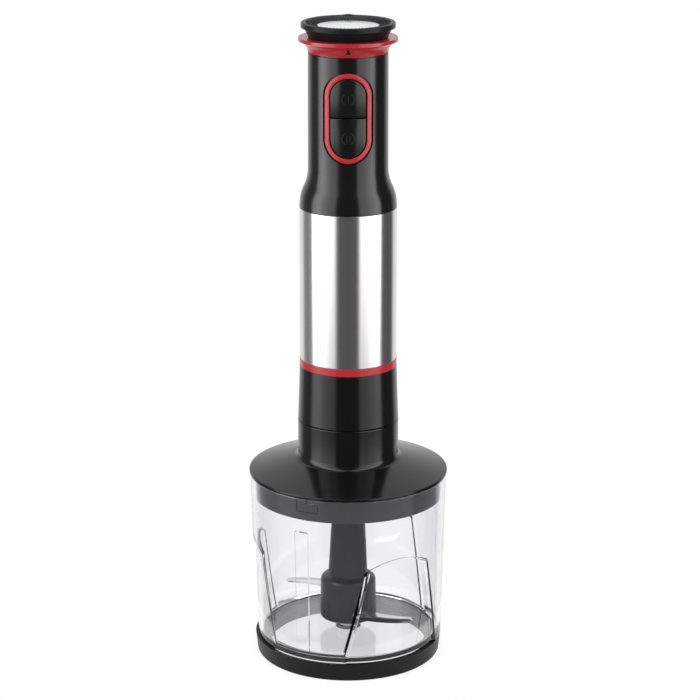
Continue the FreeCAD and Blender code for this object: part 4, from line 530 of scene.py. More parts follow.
def overlay(made, mask, colour):
    """Lay a colour over what already feeds the base colour."""
    tree = made.node_tree
    shader = tree.nodes["Principled BSDF"]
    under = Link(tree, shader.inputs["Base Color"].links[0].from_socket)
    feed(made, shader, "Base Color",
         mask.node("ShaderNodeMix", {"data_type": "RGBA"}, {0: mask, 6: under, 7: (*colour, 1)}, 2))


CASING_BLACK = (0.0045, 0.0045, 0.0047)

gloss_black = plastic("gloss_black", CASING_BLACK, 0.17)
lower_black = plastic("lower_black", CASING_BLACK, 0.17, Specular_IOR_Level=0.34)
lid_black = plastic("lid_black", (0.005, 0.005, 0.005), 0.13, Specular_IOR_Level=0.36)
trim_red = plastic("trim_red", (0.37, 0.018, 0.026), 0.2)
foot_black = plastic("foot_black", (0.005, 0.005, 0.005), 0.4, ripple=0.012, Specular_IOR_Level=0.16)
dial_black = plastic("dial_black", (0.010, 0.011, 0.012), 0.3, ripple=0.006, Specular_IOR_Level=0.14)
hub_grey = plastic("hub_grey", (0.018, 0.020, 0.0195), 0.36, ripple=0.002)
gear_white = plastic("gear_white", (0.72, 0.70, 0.64), 0.4)
inner_grey = plastic("inner_grey", (0.10, 0.10, 0.11), 0.45)
seal_black = plastic("seal_black", (0.015, 0.015, 0.015), 0.6, ripple=0.01)
bezel_red = trim_red.copy()
bezel_red.name = "bezel_red"
print("plastics ready")

# %% [markdown]
# ### Marks
# A pointer is printed on the collar under the dial, and the two buttons carry the usual signs for one and
# two in a ring. Each mark is a mask worked out from the height and the distance to the middle. The lid's
# skirt is painted a lighter grey than the polished top, which is painted light for the light it shows through
# the bowl; its mask is made in the same way.

# %% Marks
POINTER_TIP, POINTER_FOOT, POINTER_HALF = 376.3, 372.9, 1.5
PRINT_BLACK = (0.004, 0.003, 0.003)

collar_red = plastic("collar_red", (0.35, 0.016, 0.024), 0.18)
x, y, z = axes(place_on(collar_red))
rise = (z - POINTER_FOOT) / (POINTER_TIP - POINTER_FOOT)
pointer = line(x, (1 - rise) * POINTER_HALF)
overlay(collar_red, pointer * rise.above(0) * y.below(0), PRINT_BLACK)

# Painted light: the lighter grey laid on the black skirt stands in for the light it shows through the bowl.
SKIRT_TOP, SKIRT_INSIDE, SKIRT_PAINTED_LIGHT = 115.2, 50, (0.085, 0.086, 0.087)
x, y, z = axes(place_on(lid_black))
skirt_painted_light_mask = z.below(SKIRT_TOP) * ((x * x + y * y) ** 0.5).above(SKIRT_INSIDE)
overlay(lid_black, skirt_painted_light_mask, SKIRT_PAINTED_LIGHT)

RING_HALF_WIDE, RING_HALF_HIGH, LINE_HALF = 3.7, 3.4, 0.22
ONE_LEVEL, TWO_LEVEL, SIGN_GREY = 347.0, 324.2, (0.04, 0.04, 0.04)
button_black = plastic("button_black", CASING_BLACK, 0.2)
x, y, z = axes(place_on(button_black))
signs = []
for level, bars in ((ONE_LEVEL, (0,)), (TWO_LEVEL, (-1.0, 1.0))):
    up = (z - level) / RING_HALF_HIGH
    across = x / RING_HALF_WIDE
    ring = line(((up * up + across * across) ** 0.5 - 1) * RING_HALF_HIGH, LINE_HALF)
    signs.append(ring * line(z - level, RING_HALF_HIGH * 0.9))
    signs.extend(line(x - bar, LINE_HALF) * line(z - level, RING_HALF_HIGH * 0.6) for bar in bars)
together = signs[0]
for sign in signs[1:]:
    together = together.math("MAXIMUM", sign)
overlay(button_black, together * y.below(0) * 0.5, SIGN_GREY)
print("pointer and", len(signs), "strokes of signs")

# %% [markdown]
# ## Metals
# The sleeve is stainless steel brushed round the body, so its scratches run level, and they are much longer
# than they are high. Noise that is squeezed along Z gives such streaks. The dial's cap is turned on a lathe,
# which leaves fine rings round its centre and draws its highlights out across them.


# %% Metals
def metal(name, base, gloss, streaks=(300, 300, 300), depth=0.003):
    """A metal whose scratches follow streaks, the noise's scale along each axis."""
    made, shader = material(name, base, Metallic=1.0, Roughness=gloss)
    place = stretched(place_on(made), *streaks)
    scratches = noise(place, 1.0, 4, 0.6)
    feed(made, shader, "Roughness", scratches * 0.14 + (gloss - 0.07))
    bump(made, shader, scratches, depth * MM)
    return made


sleeve_steel = metal("sleeve_steel", (0.78, 0.775, 0.76), 0.17, (14, 14, 9000), 0.006)
blade_steel = metal("blade_steel", (0.80, 0.80, 0.80), 0.16, (1500, 60, 60), 0.002)
plain_steel = metal("plain_steel", (0.62, 0.62, 0.62), 0.26)
dark_steel = metal("dark_steel", (0.34, 0.34, 0.35), 0.38, (60, 60, 4000), 0.006)
cast_aluminium = metal("cast_aluminium", (0.66, 0.67, 0.68), 0.45, (500, 500, 500), 0.02)
copper_wire = metal("copper_wire", (0.78, 0.32, 0.16), 0.32, (200, 200, 2600), 0.03)
yellow_brass = metal("yellow_brass", (0.80, 0.60, 0.26), 0.28)
print("metals ready")

# %% Turned cap
RING_PITCH = 0.35

cap_silver, cap_shader = material("cap_silver", (0.99, 0.99, 0.99), Metallic=1.0, Roughness=0.2,
                                  Anisotropic=0.85)
x, y, z = axes(place_on(cap_silver))
from_axis = (x * x + y * y) ** 0.5
rings = (from_axis * (2 * math.pi / RING_PITCH)).math("SINE")
turned = noise(from_axis.node("ShaderNodeCombineXYZ", {}, {0: from_axis}), 3)
feed(cap_silver, cap_shader, "Roughness", turned * 0.1 + 0.11)
bump(cap_silver, cap_shader, rings, 0.0012 * MM)
print("cap rings every", RING_PITCH, "mm")

# %% [markdown]
# ## Clear plastic
# The bowl is a hard clear plastic with a refractive index near 1.5. Light passes through all of it, so the
# finish is a transmission shader. Only its gloss varies, as on a bowl that has been wiped many times, and a
# slow waviness keeps its reflections from being perfect.

# %% Clear plastic
clear, clear_shader = material("clear_bowl", (0.975, 0.976, 0.982), Roughness=0.0, IOR=1.5,
                               Transmission_Weight=1.0)
place = place_on(clear)
feed(clear, clear_shader, "Roughness", noise(place, 40, 3) * 0.01)
bump(clear, clear_shader, noise(place, 25, 2), 0.03 * MM)
print("clear plastic ready")

# %% [markdown]
# ## Small parts' finishes
# Circuit boards and carbon brushes lie inside and show only when the body is cut open.

# %% Small parts' finishes
board_green = plastic("board_green", (0.02, 0.14, 0.06), 0.35, grain=400)
carbon_block = plastic("carbon_block", (0.012, 0.012, 0.013), 0.6, ripple=0.02)
print("inner finishes ready")

# %% [markdown]
# ## Foot ring
# A rubber ring holds the bowl and keeps it from sliding. Its lower edge is rounded, it widens a little
# upwards, and a groove takes the bowl's spigot. Turning its section shows all of that. The clear wall begins
# at the foot line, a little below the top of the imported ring.

# %% Foot ring
foot_radius, foot_low, foot_high = span("foot_ring")
FOOT_LINE = foot_high - 1.7
FOOT_INNER, FOOT_GROOVE_IN, FOOT_GROOVE_OUT = 48.3, 51.75, 54.05
FOOT_GROOVE_LEVEL, INNER_LIP_LEVEL, FOOT_ROUND, FOOT_FLARE = 3.0, 8.0, 1.4, 1.2
foot = lathe("foot_ring_rubber", section(
    (FOOT_INNER, foot_low, FOOT_ROUND), (foot_radius - FOOT_FLARE, foot_low, FOOT_ROUND),
    (foot_radius, FOOT_LINE, 0.3), (FOOT_GROOVE_OUT, FOOT_LINE), (FOOT_GROOVE_OUT, FOOT_GROOVE_LEVEL),
    (FOOT_GROOVE_IN, FOOT_GROOVE_LEVEL), (FOOT_GROOVE_IN, INNER_LIP_LEVEL), (FOOT_INNER, INNER_LIP_LEVEL)))
dress(foot, foot_black, "foot_rubber", "bowl", "foot_ring")

# %% [markdown]
# ## Bowl
# The wall has three dents with arched tops, which give hands a grip and stiffen it, and a raised strip for
# a scale. Clear plastic shows every flaw of its mesh, so the dents aren't cut out: the bowl is turned as a
# plain shape first, with its rings and columns just where the dents' edges will be, and is then pressed.
# The strip's edges and the dents' shoulders take three lines a quarter of a millimetre apart, so each becomes
# a narrow, soft step. The dents' sides slant over two millimetres.

# %% Bowl section
FLOOR_UNDER, FLOOR_TOP, WALL, RIM_ROUND = 11.3, 13.7, 2.4, 0.8
SPIGOT_IN, SPIGOT_OUT, FLOOR_FILLET = 51.8, 54.0, 5.0
BOSS_RADIUS, PIN_BORE = 7.1, 4.06
_, spigot_low, bowl_high = span("bowl")
_, pin_low, pin_high = span("bowl_pin")
boss_high = span("bowl_floor")[2]
BOWL_FOOT_RADIUS, BOWL_RIM_RADIUS = 57.2, 59.4
DENT_SHOULDER, STRIP_LOW, STRIP_HIGH = 69.0, 14.3, 94.0
EDGE = 0.25


def wall_radius(level):
    """The wall's outer radius; it leans outwards a little to leave its mould."""
    rise = (level - foot_high) / (bowl_high - foot_high)
    return BOWL_FOOT_RADIUS + (BOWL_RIM_RADIUS - BOWL_FOOT_RADIUS) * rise


def rows(*levels):
    """Levels of the wall, each soft edge as three."""
    spread = [level + shift for level in (STRIP_LOW, DENT_SHOULDER, STRIP_HIGH) for shift in (-EDGE, 0, EDGE)]
    return sorted([*levels, *spread])


wall_rows = rows(18, 24, 30, 36, 42, 48, 54, 60, 66, 72, 76, 80, 85, 90, 98, 104, 110)
outer_wall = [(wall_radius(level), level) for level in wall_rows]
inner_wall = [(wall_radius(level) - WALL, level) for level in reversed(wall_rows)
              if level > FLOOR_TOP + FLOOR_FILLET + 0.5]
bowl = lathe("clear_bowl", section(
    (0, FLOOR_UNDER), (SPIGOT_IN, FLOOR_UNDER), (SPIGOT_IN, spigot_low, 0.4), (SPIGOT_OUT, spigot_low, 0.4),
    (SPIGOT_OUT, FOOT_LINE), (BOWL_FOOT_RADIUS, FOOT_LINE), *outer_wall,
    (BOWL_RIM_RADIUS, bowl_high, RIM_ROUND), (BOWL_RIM_RADIUS - WALL, bowl_high, RIM_ROUND), *inner_wall,
    (wall_radius(FLOOR_TOP) - WALL, FLOOR_TOP, FLOOR_FILLET), (BOSS_RADIUS, FLOOR_TOP, 1.0),
    (BOSS_RADIUS, boss_high, 0.5), (PIN_BORE, boss_high), (PIN_BORE, pin_low), (0, pin_low), steps=6),
    facets=360)
print("plain bowl", len(bowl.data.polygons), "faces")

# %% [markdown]
# ### Bayonet grooves
# The lid's lugs drop down a short channel in the wall's inner side and turn into a pocket. One cutter is
# shaped from a block, bent round the axis by moving its vertices, and used at each of the three places.

# %% Bayonet grooves
GROOVE_FLOOR, GROOVE_RADIUS, GROOVE_DEPTH = 106.5, 58.2, 3.5
BAYONET_TURNS = (-28.3, 91.7, 211.7)
CHANNEL, POCKET = (-3.3, 3.3, bowl_high + 2), (2.3, 10.0, GROOVE_FLOOR + 5)


def bent_block(name, first, last, inner, outer, low, high):
    """A block between two turns, two radii and two levels, cut finely enough to follow the circle."""
    only()
    bpy.ops.mesh.primitive_cube_add(size=1, location=(0, 0, 0))
    block = bpy.context.object
    block.name = name
    bpy.ops.object.mode_set(mode="EDIT")
    bpy.ops.mesh.subdivide(number_cuts=7)
    bpy.ops.object.mode_set(mode="OBJECT")

    def bend(x, y, z):
        angle = math.radians(first + (last - first) * (x * MM + 0.5))
        radius = inner + (outer - inner) * (0.5 - y * MM)
        return radius * math.sin(angle), -radius * math.cos(angle), low + (high - low) * (z * MM + 0.5)

    return mend(shape(block, bend))


for turn in BAYONET_TURNS:
    for first, last, top in (CHANNEL, POCKET):
        carve(bowl, bent_block("groove_cutter", turn + first, turn + last, GROOVE_RADIUS - GROOVE_DEPTH,
                               GROOVE_RADIUS, GROOVE_FLOOR, top))
mend(bowl, merge=0.02, outwards=False)
print("three bayonet grooves cut")

# %% [markdown]
# ### Pressing the dents
# A dent's floor lies 1.8 mm behind the wall, and its outline is straight sided and arched when one looks at
# it squarely. One column in 360 is one degree, so a vertex knows its column from its turn. Columns inside a
# dent spread to its slanting sides, those between two dents share what is left, and the rows at the dent's
# shoulder rise to its arch. Above the calm level, where the grooves are, nothing moves.

# %% Press the dents
DENT_TURNS, DENT_DEPTH, DENT_ARCH = (33, 153, -87), 1.8, 40.0
DENT_FOOT, DENT_FOOT_HALF, DENT_TOP_HALF = 10.9, 33.0, 20.6
BACK_MARGIN, DENT_SLANT, ARCH_REACH = 1.3, 1.15, 22
STRIP_TURN, STRIP_HALF, STRIP_PROUD = -28.0, 4.3, 0.45
CALM_LEVEL, WALL_INSIDE = 104, 49.8
SIDE_COLUMN, STRIP_COLUMN, LAST_COLUMN = 29, 55, 60


def soft_step(distance, edge):
    """1 on the near side of an edge, 0 beyond it, and a half on it."""
    return min(1, max(0, 0.5 - distance / (2 * edge)))


def dent_half(level, margin):
    slope = (DENT_FOOT_HALF - DENT_TOP_HALF) / (DENT_SHOULDER - DENT_FOOT)
    return DENT_FOOT_HALF + margin - slope * (min(level, DENT_SHOULDER) - DENT_FOOT)


def spread_columns(column, side_turn, edge_turn, strip_columns):
    """The turn of a column, counted from its dent's middle: anchors pin columns to turns."""
    anchors = [(0, 0), (SIDE_COLUMN - 1, side_turn - edge_turn), (SIDE_COLUMN, side_turn),
               (SIDE_COLUMN + 1, side_turn + edge_turn), *strip_columns, (LAST_COLUMN, LAST_COLUMN)]
    for (low, low_turn), (high, high_turn) in zip(anchors, anchors[1:]):
        if low <= column <= high:
            return low_turn + (high_turn - low_turn) * (column - low) / (high - low)


def pressed(x, y, z):
    """Where a vertex of the plain bowl goes, in millimetres."""
    radius = math.hypot(x, y)
    if (z < FOOT_LINE - 0.01 or z > CALM_LEVEL - 0.01 or radius < WALL_INSIDE
            or (z < FLOOR_TOP - 0.01 and radius < SPIGOT_OUT + 0.5)):
        return x, y, z
    turn = math.degrees(math.atan2(x, -y))
    dent = min(DENT_TURNS, key=lambda middle: abs((turn - middle + 180) % 360 - 180))
    away = (turn - dent + 180) % 360 - 180
    side = 1 if away >= 0 else -1
    edge_turn, slant = math.degrees(EDGE / radius), math.degrees(DENT_SLANT / radius)
    inner = radius < wall_radius(z) - WALL / 2
    half = dent_half(z, BACK_MARGIN if inner else 0)
    side_turn = math.degrees(math.asin(half / wall_radius(z)))
    strip_edge = ((STRIP_TURN + side * -STRIP_HALF - dent) * side + 180) % 360 - 180
    near_strip = abs(strip_edge) < LAST_COLUMN
    strip_columns = [(STRIP_COLUMN + shift, strip_edge + shift * edge_turn) for shift in (-1, 0, 1)]
    now = spread_columns(abs(away), side_turn, slant, strip_columns if near_strip else []) * side
    now += (away - now) * min(1, max(0, (z - STRIP_HIGH) / (CALM_LEVEL - STRIP_HIGH)))
    across = radius * math.sin(math.radians(now))
    arch_half = dent_half(DENT_SHOULDER, BACK_MARGIN if inner else 0)
    lift = 0
    if abs(across) < arch_half:
        lift = math.sqrt(DENT_ARCH ** 2 - across ** 2) - math.sqrt(DENT_ARCH ** 2 - arch_half ** 2)
        lift *= max(0, 1 - abs(z - DENT_SHOULDER) / ARCH_REACH)
    depth = DENT_DEPTH * soft_step(abs(now) - side_turn, slant) * soft_step(z - DENT_SHOULDER, EDGE)
    if inner:
        radius = min(radius, wall_radius(z) - WALL - depth)
    else:
        from_strip = abs(dent + now - STRIP_TURN)
        proud = STRIP_PROUD * soft_step(from_strip - STRIP_HALF, edge_turn)
        proud *= soft_step(z - STRIP_HIGH, EDGE) * soft_step(STRIP_LOW - z, EDGE)
        radius += proud - depth
    angle = math.radians(dent + now)
    return radius * math.sin(angle), -radius * math.cos(angle), z + lift


shape(bowl, pressed)
print("three dents and a scale strip pressed")

smooth(bowl, 30)
dress(bowl, clear, "clear_bowl", "bowl", "bowl", "bowl_floor")
paint(plain_steel, "bowl_pin")

# %% [markdown]
# ## Blade set
# The hub is one moulding: a drum that carries the two blades, a shoulder, and a long stem that narrows
# towards the hexagon by which the gearbox drives it.

# %% Blade hub
_, hub_low, hub_high = span("blade_hub")
pin_end = pin_high + 1
DRUM_FOOT_RADIUS, DRUM_RADIUS, DRUM_TOP, DRUM_ROUND = 17.25, 16.8, 46.3, 3.4
STEM_TOP = 101.8
STEM_FOOT, STEM_BEND, STEM_TIP_RADIUS = (12.2, 48.5), (10.4, STEM_TOP - 21.6), 9.3
hub = lathe("blade_hub_moulding", section(
    (0, pin_end), (PIN_BORE, pin_end), (PIN_BORE, hub_low), (DRUM_FOOT_RADIUS, hub_low, 1.6),
    (DRUM_RADIUS, DRUM_TOP, DRUM_ROUND), STEM_FOOT, STEM_BEND, (STEM_TIP_RADIUS, STEM_TOP, 0.4),
    (0, STEM_TOP)))
dress(hub, hub_grey, "hub_plastic", "blade")

# %% Drive hexagon
HEXAGON_FLATS = 9.0
only()
bpy.ops.mesh.primitive_cylinder_add(vertices=6, radius=HEXAGON_FLATS / math.sqrt(3) * MM,
                                    depth=(hub_high - STEM_TOP) * MM,
                                    location=(0, 0, (hub_high + STEM_TOP) / 2 * MM))
hexagon = bpy.context.object
hexagon.name = "hub_drive_hexagon"
dress(smooth(settle(bevel(hexagon, 0.3, 2))), hub_grey, "hub_plastic", "blade", "blade_hub")

# %% [markdown]
# ### Blades
# The two blades are ground and bent sheet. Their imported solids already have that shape, so each is copied,
# its loose triangles are merged, and its curves are shaded smooth.

# %% Blades
for node in ("lower_blade", "upper_blade"):
    dress(remade(node), blade_steel, "blade_steel", "blade", node)

# %% [markdown]
# ## Lid
# One moulding makes the lid, the neck that takes the motor unit, and the gearbox's seat under it. The disc
# rises to a small flare where it meets the neck, and a skirt reaches down inside the bowl.

# %% Lid
lid_radius, _, neck_top = span("lid_shell")
LID_UNDER, LID_EDGE, FLARE_FOOT, FLARE_TOP = 115.3, 1.6, (33.6, 124.4), (30.3, 128.2)
SKIRT_RADIUS, SKIRT_BOTTOM, SKIRT_WALL, SKIRT_ROOT = 56.2, 100.9, 2.0, 115.9
GEARBOX_FLOOR, GEARBOX_UNDER, GEAR_SHELF = 119.0, 116.6, 124.0
TUBE_BOTTOM, SEAL_SEAT, WEB_TOP = 102.0, 105.2, (31.3, 122.0)
NECK_BORE, GEAR_BORE, TUBE_BORE, SEAL_BORE, TUBE_RADIUS = 27.75, 21.5, 8.76, 11.06, 12.9
lid = lathe("lid_moulding", section(
    (lid_radius, LID_UNDER), (lid_radius, LID_UNDER + LID_EDGE, 0.6), FLARE_FOOT,
    *bow(FLARE_FOOT, FLARE_TOP, 3.9, 1), FLARE_TOP, (FLARE_TOP[0], neck_top, 0.5),
    (NECK_BORE, neck_top), (NECK_BORE, GEAR_SHELF), (GEAR_BORE, GEAR_SHELF),
    (GEAR_BORE, GEARBOX_FLOOR), (TUBE_BORE, GEARBOX_FLOOR), (TUBE_BORE, SEAL_SEAT), (SEAL_BORE, SEAL_SEAT),
    (SEAL_BORE, TUBE_BOTTOM), (TUBE_RADIUS, TUBE_BOTTOM, 0.4), (TUBE_RADIUS, GEARBOX_UNDER),
    (GEAR_BORE + 2.4, GEARBOX_UNDER), WEB_TOP, (SKIRT_RADIUS - SKIRT_WALL, SKIRT_ROOT),
    (SKIRT_RADIUS - SKIRT_WALL, SKIRT_BOTTOM, 0.4), (SKIRT_RADIUS, SKIRT_BOTTOM, 0.4),
    (SKIRT_RADIUS, LID_UNDER)), facets=192)
dress(lid, lid_black, "lid_black", "lid", "lid_shell")

# %% [markdown]
# ### Bayonet lugs
# Three lugs on the skirt drop into the bowl's channels. Each is the grooves' bent block, a little smaller.

# %% Bayonet lugs
LUG_HALF, LUG_HIGH, LUG_LOW = 2.5, 4.0, GROOVE_FLOOR + 0.5
lugs = [bent_block("lid_lugs", turn - LUG_HALF, turn + LUG_HALF, SKIRT_RADIUS - 1, GROOVE_RADIUS - 0.3,
                   LUG_LOW, LUG_LOW + LUG_HIGH) for turn in BAYONET_TURNS]
dress(smooth(bevel(join(*lugs), 0.4)), lid_black, "lid_black", "lid")

# %% [markdown]
# ### Inside the lid
# The seal and the gearbox show only when the motor unit is lifted off, so they stay as they were packed, and
# each gets the finish of its material: white gears, grey covers, steel pins and screws.

# %% Inside the lid
paint(seal_black, "shaft_seal")
paint(gear_white, "ring_gear", "sun_gear", "planet_gear_1", "planet_gear_2", "planet_gear_3")
paint(inner_grey, "gearbox_cover", "planet_carrier")
paint(plain_steel, "cover_screws", "planet_pins")
print("seal and gearbox painted")

# %% [markdown]
# ## Motor unit's lower end
# The black nose, the red ring and the steel sleeve sit flush on one axis, with a hairline joint between
# each pair, so their edges are rounded by a few tenths of a millimetre, and the joints draw themselves. The
# sleeve slips over a tenon at each end, one on the housing and one on the grip.

# %% Lower housing
_, nose_low, _ = span("lower_housing")
HOUSING_BOTTOM, HOUSING_TOP = neck_top + 0.2, 182.4
HOUSING_FOOT_RADIUS, HOUSING_MIDDLE, HOUSING_TOP_RADIUS = 30.25, (29.6, 165.7), 29.13
NOSE_RADIUS, NOSE_BORE, NOSE_WALL, INNER_RADIUS, INNER_FOOT_RADIUS = 27.4, 10.5, 2.4, 27.1, 24.9
TENON_OUT, TENON_IN, TENON_HIGH = 26.15, 24.15, 4.9
accent_radius, accent_low, accent_high = span("accent_ring")
sleeve_radius, sleeve_low, sleeve_high = span("metal_sleeve")
nose = lathe("lower_housing_moulding", section(
    (NOSE_BORE, nose_low), (NOSE_RADIUS, nose_low, 0.6), (NOSE_RADIUS, HOUSING_BOTTOM),
    (HOUSING_FOOT_RADIUS, HOUSING_BOTTOM, 0.5), HOUSING_MIDDLE, (HOUSING_TOP_RADIUS, HOUSING_TOP),
    (TENON_OUT, HOUSING_TOP), (TENON_OUT, sleeve_low + TENON_HIGH), (TENON_IN, sleeve_low + TENON_HIGH),
    (TENON_IN, HOUSING_TOP - 2.5), (INNER_RADIUS, HOUSING_TOP - 7.5), (INNER_RADIUS, HOUSING_BOTTOM + 5),
    (INNER_FOOT_RADIUS, HOUSING_BOTTOM), (INNER_FOOT_RADIUS, nose_low + NOSE_WALL),
    (NOSE_BORE, nose_low + NOSE_WALL)))
dress(nose, lower_black, "housing_black", "motor_unit", "lower_housing")

# %% Red ring
ACCENT_BORE, ACCENT_ROUND = 26.2, 0.25
accent = lathe("accent_ring_moulding", section(
    (ACCENT_BORE, accent_low), (accent_radius, accent_low, ACCENT_ROUND),
    (accent_radius, accent_high, ACCENT_ROUND), (ACCENT_BORE, accent_high)))
dress(accent, trim_red, "accent_red", "motor_unit", "accent_ring")

# %% Steel sleeve
SHEET, SHEET_ROUND = 0.6, 0.15
sleeve = lathe("steel_sleeve", section(
    (sleeve_radius - SHEET, sleeve_low), (sleeve_radius, sleeve_low, SHEET_ROUND),
    (sleeve_radius, sleeve_high, SHEET_ROUND), (sleeve_radius - SHEET, sleeve_high)))
dress(sleeve, sleeve_steel, "sleeve_steel", "motor_unit", "metal_sleeve")

# %% [markdown]
# ## Grip
# The grip is turned too: a shoulder with two long bends, then a nearly straight handle. A window for the
# buttons is cut through its front with a stadium, and a round seat for the cord's gland is joined on at the
# back.

# %% Grip
grip_low, grip_high = span("grip_housing")[1:]
gland_low, gland_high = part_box("cord_gland")
gland_level = (gland_low.z + gland_high.z) / 2 / MM
SHOULDER_LOW, SHOULDER_BEND = (28.57, sleeve_high + 3.7), (26.095, sleeve_high + 12.7)
WAIST, BEND_RADIUS = (23.62, sleeve_high + 22.8), 25
GRIP_TOP_RADIUS, GRIP_INNER, HANDLE = 23.4, 21.42, ((23.55, 322), (23.48, 346))
grip = lathe("grip_moulding", section(
    (TENON_IN, grip_low), (TENON_OUT, grip_low), (TENON_OUT, sleeve_high), (sleeve_radius, sleeve_high, 0.3),
    SHOULDER_LOW, *bow(SHOULDER_LOW, SHOULDER_BEND, BEND_RADIUS, -1), SHOULDER_BEND,
    *bow(SHOULDER_BEND, WAIST, BEND_RADIUS, 1), WAIST, *HANDLE, (GRIP_TOP_RADIUS, grip_high, 0.3),
    (GRIP_INNER, grip_high), (GRIP_INNER, WAIST[1] - 2), (TENON_IN, sleeve_high + 2)))


def drum(name, radius, near, far, level, rim=0.0):
    """A round plug that lies along Y between two distances from the axis, at the back."""
    only()
    bpy.ops.mesh.primitive_cylinder_add(vertices=64, radius=radius * MM, depth=(far - near) * MM,
                                        location=(0, (near + far) / 2 * MM, level * MM),
                                        rotation=(math.radians(90), 0, 0))
    plug = bpy.context.object
    plug.name = name
    if rim:
        bevel(plug, rim, 3)
    return settle(plug)


BOSS_OUT, BOSS_FROM, BOSS_TO, GLAND_HOLE = 8, 21.8, 24, 5.25
carve(grip, drum("gland_boss", BOSS_OUT, BOSS_FROM, BOSS_TO, gland_level, 0.3), "UNION")
carve(grip, drum("gland_hole", GLAND_HOLE, BOSS_FROM - 6.8, BOSS_TO + 6, gland_level))
print("grip", len(grip.data.polygons), "faces")

# %% [markdown]
# ## Bezel and buttons
# Seen squarely the bezel is a flat stadium, so it is modelled flat and curved afterwards. A disc is pulled
# into a stadium, pushed forward, and inset in small steps that round its edge. Then every vertex moves back
# by the amount a cylinder of the grip's radius falls away at its place, and the straight piece hugs the grip.
# The window is wider than the bezel, which leaves a dark line round it; a black ring behind closes that line.

# %% Flat stadium
ROLL_STEPS = 4


def stadium(name, half, bottom, top, front, split=None, facets=96):
    """A flat stadium that faces the front; a split keeps the part above (1) or below (-1) a level."""
    only()
    bpy.ops.mesh.primitive_circle_add(vertices=facets, radius=half * MM, fill_type="NGON",
                                      location=(0, -front * MM, (bottom + half) * MM),
                                      rotation=(math.radians(90), math.pi / facets, 0))
    piece = bpy.context.object
    piece.name = name
    settle(piece)
    bpy.ops.object.mode_set(mode="EDIT")
    choose(piece, lambda spot: spot.z > bottom + half)
    bpy.ops.transform.translate(value=(0, 0, (top - bottom - 2 * half) * MM))
    if split:
        level, side = split
        bpy.ops.mesh.select_all(action="SELECT")
        bpy.ops.mesh.bisect(plane_co=(0, 0, level * MM), plane_no=(0, 0, side), clear_inner=True)
    bpy.ops.mesh.select_all(action="SELECT")
    return piece


def forward(distance):
    bpy.ops.mesh.extrude_region_move(TRANSFORM_OT_translate={"value": (0, -distance * MM, 0)})


def roll(radius, inward=False):
    """Inset the chosen face in steps along a quarter circle, outer edge or inner edge."""
    for step in range(ROLL_STEPS):
        low, high = (math.pi / 2 * turn / ROLL_STEPS for turn in (step, step + 1))
        rise, run = math.sin(high) - math.sin(low), math.cos(low) - math.cos(high)
        thickness, depth = (rise, -run) if inward else (run, rise)
        bpy.ops.mesh.inset(thickness=thickness * radius * MM, depth=depth * radius * MM)


def curve_round(x, y, z):
    """A flat front's vertex, moved back on to the cylinder that touches it."""
    return x, -math.sqrt(y * y - x * x), z


print("stadium helpers ready")

# %% Bezel
BEZEL_HALF, BEZEL_BORDER, BEZEL_FRONT, BEZEL_DEPTH = 13.6, 2.75, 24.2, 2.7
BEZEL_TRIM, SHADOW_GAP, BEZEL_ROUND, SEAT_RIM = 0.45, 0.9, 0.55, 1.4
WINDOW_FROM = 15
bezel_low, bezel_high = (corner.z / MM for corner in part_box("button_bezel"))
bezel_low, bezel_high = bezel_low + BEZEL_TRIM, bezel_high - BEZEL_TRIM
window = stadium("window_cutter", BEZEL_HALF + SHADOW_GAP, bezel_low - SHADOW_GAP, bezel_high + SHADOW_GAP,
                 WINDOW_FROM)
forward(WINDOW_FROM)
bpy.ops.object.mode_set(mode="OBJECT")
smooth(carve(grip, mend(window)), 24)
dress(grip, gloss_black, "housing_black", "motor_unit", "grip_housing")


def stadium_ring(name, half, bottom, top, front, depth, border, rounding):
    """A flat stadium ring with rolled front edges, curved round the grip."""
    ring = stadium(name, half, bottom, top, front - depth)
    forward(depth - rounding)
    roll(rounding)
    for step in range(2):
        bpy.ops.mesh.inset(thickness=(border / 2 - rounding) * MM)
    roll(rounding, inward=True)
    forward(rounding - depth)
    bpy.ops.mesh.delete(type="FACE")
    choose(ring, lambda spot: spot.y > depth - front - 0.01)
    bpy.ops.mesh.delete(type="ONLY_FACE")
    bpy.ops.mesh.select_all(action="DESELECT")
    bpy.ops.mesh.select_mode(type="EDGE")
    bpy.ops.mesh.select_non_manifold()
    bpy.ops.mesh.bridge_edge_loops()
    bpy.ops.mesh.select_mode(type="VERT")
    bpy.ops.object.mode_set(mode="OBJECT")
    return smooth(mend(shape(ring, curve_round)), 40)


bezel = stadium_ring("bezel_ring", BEZEL_HALF, bezel_low, bezel_high, BEZEL_FRONT, BEZEL_DEPTH, BEZEL_BORDER,
                     BEZEL_ROUND)
dress(bezel, bezel_red, "accent_red", "motor_unit", "button_bezel")
SEAT_PROUD, SEAT_DEPTH, SEAT_OVERLAP, SEAT_ROUND = 0.9, 1.2, 1.4, 0.1
seat = stadium_ring("bezel_seat", BEZEL_HALF + SEAT_RIM, bezel_low - SEAT_RIM, bezel_high + SEAT_RIM,
                    BEZEL_FRONT - BEZEL_DEPTH + SEAT_PROUD, SEAT_DEPTH, SEAT_RIM + SEAT_OVERLAP, SEAT_ROUND)
dress(seat, gloss_black, "housing_black", "motor_unit")

# %% [markdown]
# ### Buttons
# A button's face is cut into narrow upright strips before it is curved, because one large flat face can't
# follow a cylinder. The lip behind the bezel keeps it from falling out, and a stem behind reaches its switch.

# %% Buttons
BUTTON_GAP, BUTTON_SINK, BUTTON_ROUND, FACE_DEPTH, LIP, LIP_DEPTH = 0.55, 0.25, 0.45, 3.2, 1.5, 0.9
SPLIT_GAP, SPRING_SEAT, SEAT_HALF, STEM_RADIUS, STEM_SUNK = 0.35, 19.8, 6, 2.6, 0.3
STRIP_WIDTH = 0.8


